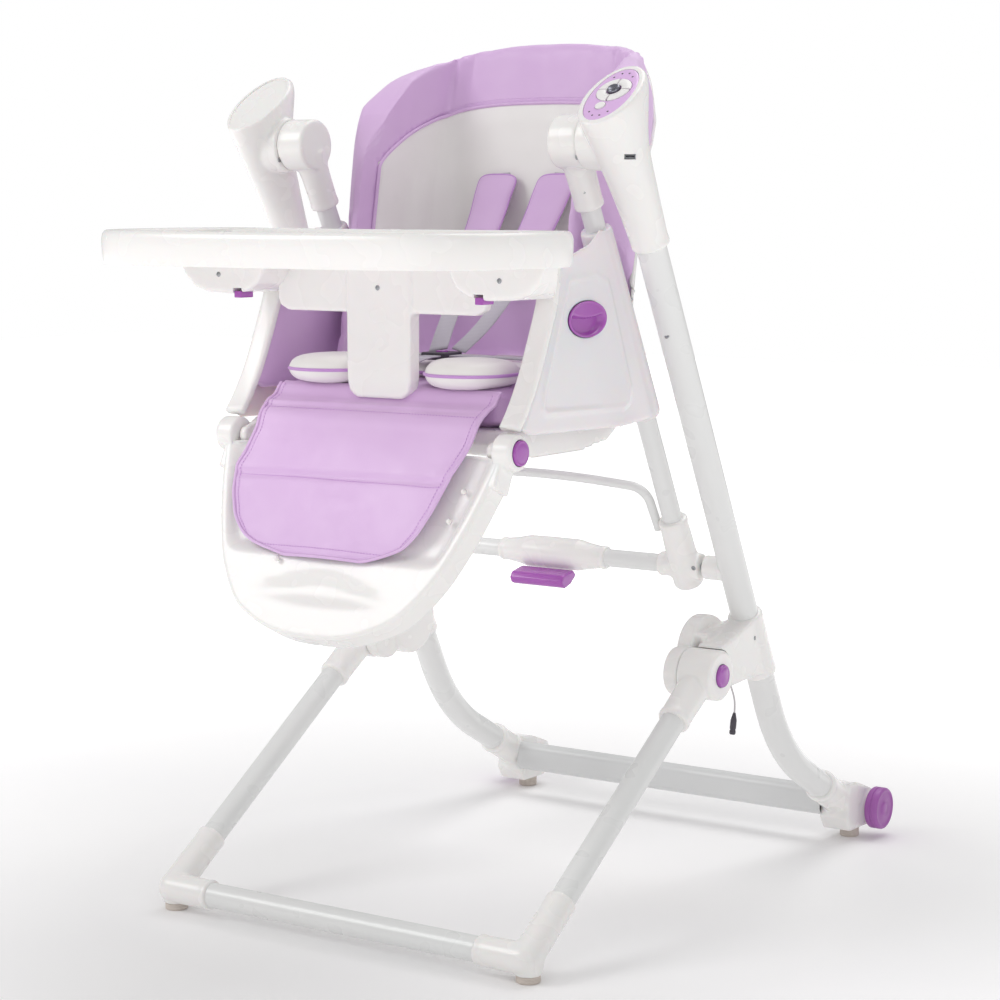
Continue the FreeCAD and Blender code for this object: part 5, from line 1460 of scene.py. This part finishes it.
def makeApron():
    spine = [Vector((0, y, z)) for y, z in apron["top"]]
    spine += [onFootrest(0, apron["lift"], z) for z in (24, 8, -10, -30, -50, -75, -100, -120, -135,
                                                        apron["low"])]
    spine = smoothLine(spine, 6)
    rows, columns = [], 44
    for i, centre in enumerate(spine):
        offset = centre - pivotFoot
        z = offset.y * math.sin(footrest["lean"]) + offset.z * math.cos(footrest["lean"])
        z = min(z, 60) if i > 6 else 60
        left, right = alongTable(apron["left"], z), alongTable(apron["right"], z)
        row = []
        for k in range(columns + 1):
            u = k / columns
            x = -left + (left + right) * u
            swell = 2.4 * math.sin(math.pi * u) * ramp(-z, -30,
                                                       20) + 1.1 * math.sin(x / 23 + z / 31) * ramp(-z, 0, 30)
            crease = sum(2.6 * (1 - ramp(abs(z - at - 0.02 * x), 0, 7)) for at in apron["seamAt"])
            curl = 5.0 * ramp(x, right - 30, right) * ramp(-z, 5, 40) * (1 - ramp(-z, 95, 125))
            push = Vector((0, -math.cos(footrest["lean"]), math.sin(footrest["lean"])))
            row.append(centre + Vector((x, 0, 0)) + push * ((swell - crease + curl) * ramp(-z, -62, -36)))
        rows.append(row)
    width = columns + 1
    faces = [(r * width + i, r * width + i + 1, (r + 1) * width + i + 1, (r + 1) * width + i)
             for r in range(len(rows) - 1) for i in range(columns)]
    cloth = addMesh("apron", [p for row in rows for p in row], faces)
    centre = cloth.data.vertices[(len(rows) // 2) * width + columns // 2]
    side = 1 if centre.normal.y < 0 else -1
    modify(cloth, "SOLIDIFY", thickness=apron["thick"] * millimetre, offset=-side, use_even_offset=True)
    rounded(cloth)
    joint = ("seat", "footrest", (0, -0.268, 0.622), (0, -0.300, 0.575))
    dress(cloth, "footrestApron", None, "lilac_leatherette", ["footrest_apron"], blend=joint)
    edge = [row[0] for row in rows[4::3]] + rows[-1][2:-2:3] + [row[-1] for row in rows[:3:-3]]
    hem = dress(tubeAlong(edge, apron["piping"]), "apronPiping", None, "lilac_leatherette", blend=joint)

    def inset(share):
        low = int(len(rows) * 0.94)
        return [row[0].lerp(row[-1], share) for row in rows[6:low]] + \
            [rows[low].copy()[k] for k in range(3, columns - 2)] + \
            [row[-1].lerp(row[0], share) for row in rows[low:6:-1]]

    front = Vector((0, -math.cos(footrest["lean"]), math.sin(footrest["lean"])))
    lines = [[p + front * 0.5 for p in inset(0.025)]]
    for at in apron["seamAt"]:
        best = min(rows[8:], key=lambda row: abs(
            (row[0] - pivotFoot).z * math.cos(footrest["lean"])
            + (row[0] - pivotFoot).y * math.sin(footrest["lean"]) - at + 5))
        lines.append([p + front * 0.6 for p in best[1:-1]])
    thread = stitches("apronStitches", lines, None, "purple_leatherette", blend=joint)


makeFootrest()
makeApron()
print("stage: footrest and apron made")

# tray
tray = {"half": 275.0, "front": -493.0, "rear": -225.0, "deck": 810.0, "ceiling": 806.6,
        "cup": (-198.0, -385.0), "cupFloor": 800.0, "podTop": 785.2}


def trayLine():
    w, front, rearY = tray["half"], tray["front"], tray["rear"]
    halfLine = [(0, front), (125, front + 4), (218, front + 20), (260, front + 64), (w, front + 150),
                (w - 4, rearY - 48), (w - 26, rearY - 8), (w - 58, rearY), (120, rearY - 18)]
    points = halfLine + [(0, rearY - 26)] + [(-x, y) for x, y in reversed(halfLine[1:])]
    line = smoothLine([(x, y, 0) for x, y in points], 9, closed=True)
    normals = []
    for i in range(len(line)):
        way = (line[(i + 1) % len(line)] - line[i - 1]).normalized()
        normals.append(Vector((-way.y, way.x, 0)))
    middleWay = Vector((0, (front + rearY) / 2, 0)) - line[0]
    if normals[0].dot(middleWay) < 0:
        normals = [-n for n in normals]
    return line, normals


def makeTray():
    line, normals = trayLine()
    profile = [(30, 806.6), (9, 806.4), (5, 804.5), (3.8, 800), (5.4, 786), (4.6, 785.1), (3.0, 785.2),
               (2.4, 787),
               (0.9, 797), (0.2, 808), (0.3, 815), (1.4, 819.6), (3.6, 822.8), (6.6, 824), (9.4, 823.4),
               (11.4, 821.2), (13.2, 817), (15.2, 813), (18.5, 810.7), (24, 810), (34, 810)]
    rings = [[p + n * inset + Vector((0, 0, z)) for p, n in zip(line, normals)] for inset, z in profile]
    middleY = (tray["front"] + tray["rear"]) / 2

    def shrunk(ring, share, z):        # a ring drawn in towards the middle of the tray
        centre = Vector((0, middleY, z))
        return [centre + (Vector((p.x, p.y, z)) - centre) * share for p in ring]

    under = [shrunk(rings[0], share, tray["ceiling"]) for share in (0.4, 0.75)]
    deck = shrunk(rings[-1], 0.75, tray["deck"])
    top = loft(under + rings + [deck, shrunk(deck, 0.4 / 0.75, tray["deck"])])
    x, y = tray["cup"]
    carve(top, turned([(0, 37.5), (9, 37.5)], (x, y, 798), (0, 0, 1)), "UNION")
    carve(top, turned([(0, 31), (1.2, 33.4), (3.2, 34.5), (8.6, 34.7), (10.2, 36), (11, 38), (20, 38)],
                      (x, y, tray["cupFloor"]), (0, 0, 1)))
    dress(top, "trayTop", "tray", "white_plastic", ["tray_top"])

    pod = [(130, 788), (133, 774), (142, 760), (158, 751), (182, 747.5), (216, 748.5), (238, 755),
           (252, 768), (262.5, 788)]
    tongue = slabX([(-232, 755), (-152, 755), (-150, 765), (-152, 775), (-232, 775)], 170.5, 183.4)
    body = organic([slabY(pod, -303, -217), tongue], 2.0, 9)
    moveEach(body, lambda p, normal: Vector((p.x, min(p.y, -280 + max(262 - p.x, 0) * 1.25),
                                             min(p.z, tray["podTop"]))))
    keyTop = span("tray_button_right")[1].z + 3.5
    carve(body, slabY([(165.4, 730), (178.6, 730), (178.6, keyTop), (165.4, keyTop)], -303.5, -278.5))
    body.data.validate()
    dress(bothSides("trayPods", body), "trayPods", "tray", "white_plastic", ["tray_pods"])
    for name in ("right", "left"):
        low, high = span(f"tray_button_{name}")
        low.x, high.x = low.x + (high.x - low.x) * 0.28, high.x - (high.x - low.x) * 0.28
        key = slabY([(low.x, low.z), (high.x, low.z), (high.x, high.z), (low.x, high.z)], low.y, high.y)
        key = organic([key], 0.9, 4)
        dress(key, f"trayButton_{name}", f"tray_button_{name}", "purple_plastic", [f"tray_button_{name}"])

    plate = slabY([(-150, 788), (-150, 744), (-146, 734), (-134, 728), (134, 728), (146, 734), (150, 744),
                   (150, 788)], -255, -240)
    post = slabY([(-46, 788), (-45.6, 650), (-42, 637), (-32, 629.5), (32, 629.5), (42, 637), (45.6, 650),
                  (46, 788)],
                 -258, -238)
    body = organic([plate, post], 1.9, 6)
    moveEach(body, lambda p, normal: Vector((p.x, p.y, min(p.z, tray["podTop"]))))
    dress(body, "trayPost", "tray", "white_plastic", ["tray_post"])


makeTray()
print("stage: tray made")

# screws, one piece for each body
screws("frameScrews", "frame", withMirror([((279.6, 142, 318), (1, 0.15, 0.05)),
                                           ((279.6, 168, 289), (1, 0.2, 0)),
                                            ((214.6, -134, 951), (-1, 0, 0)), ((214.6, -170, 905), (-1, 0, 0)),
                                            ((legX + 2, onLine(0, 700).y - 19.3, 700), (0, -1, 0.5))]),
       replaced=["frame_fasteners"])
screws("swingScrews", "swing", withMirror([((swingX + 7, onLine(0, 866).y - 16.2, 866), (0.35, -1, -0.4)),
                                            ((swingX + 4, onLine(0, 420).y - 18.6, 420), (0.2, -1, -0.4)),
                                            ((swingX + 22, onLine(0, 405).y - 16.6, 405), (0, -1, -0.3))]))
screws("trayScrews", "tray", [((0, -258.1, 757), (0, -1, 0)), ((200, -303.2, 770), (0, -1, 0)),
                              ((-200, -303.2, 770), (0, -1, 0))])
print("stage: screws made")


# pieces of the frame that keep their own shape
keptFinish = {"upper_legs": "tube_enamel", "rear_legs": "tube_enamel", "front_leg_tubes": "tube_enamel",
              "front_cross_tube": "tube_enamel", "rear_cross_tube": "grey_enamel", "swing_tubes": "tube_enamel",
              "swing_cross_tube": "tube_enamel", "seat_stop_bar": "tube_enamel", "steel_pins": "steel",
              "swing_shafts": "steel", "lock_pin_right": "steel", "lock_pin_left": "steel",
              "lock_stubs": "white_plastic", "drive_motor": "steel", "control_board": "board_laminate"}
for name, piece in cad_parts.items():
    if name in keptFinish:
        for slot in piece.material_slots:
            slot.material = finishes[keptFinish[name]]
print("stage: kept pieces finished")


def addFloor():
    floor = addMesh("studioFloor", [(-9000, -9000, 0), (9000, -9000, 0), (9000, 9000, 0), (-9000, 9000, 0)],
                    [(0, 1, 2, 3)])
    material, tree, surface, place = newMaterial("studioPaper",
                                                 {"Roughness": 0.6, "Emission Color": (1, 1, 1, 1)})
    tintBy(tree, surface, noiseAt(tree, place, 400), "#FBFAFA", "#F8F7F8")
    reach = addNode(tree, "ShaderNodeVectorMath", [(0, place)], operation="LENGTH").outputs["Value"]
    glow = addNode(tree, "ShaderNodeMapRange", [("Value", reach)],        # painted glow: the paper emits light of its own, more the further it lies from the chair, whitening it towards the horizon
                   [("From Min", 0.5), ("From Max", 2.6), ("To Min", 0.03), ("To Max", 0.75)])
    tree.links.new(glow.outputs["Result"], surface.inputs["Emission Strength"])
    floor.data.materials.append(material)


addFloor()
print("stage: scene complete")
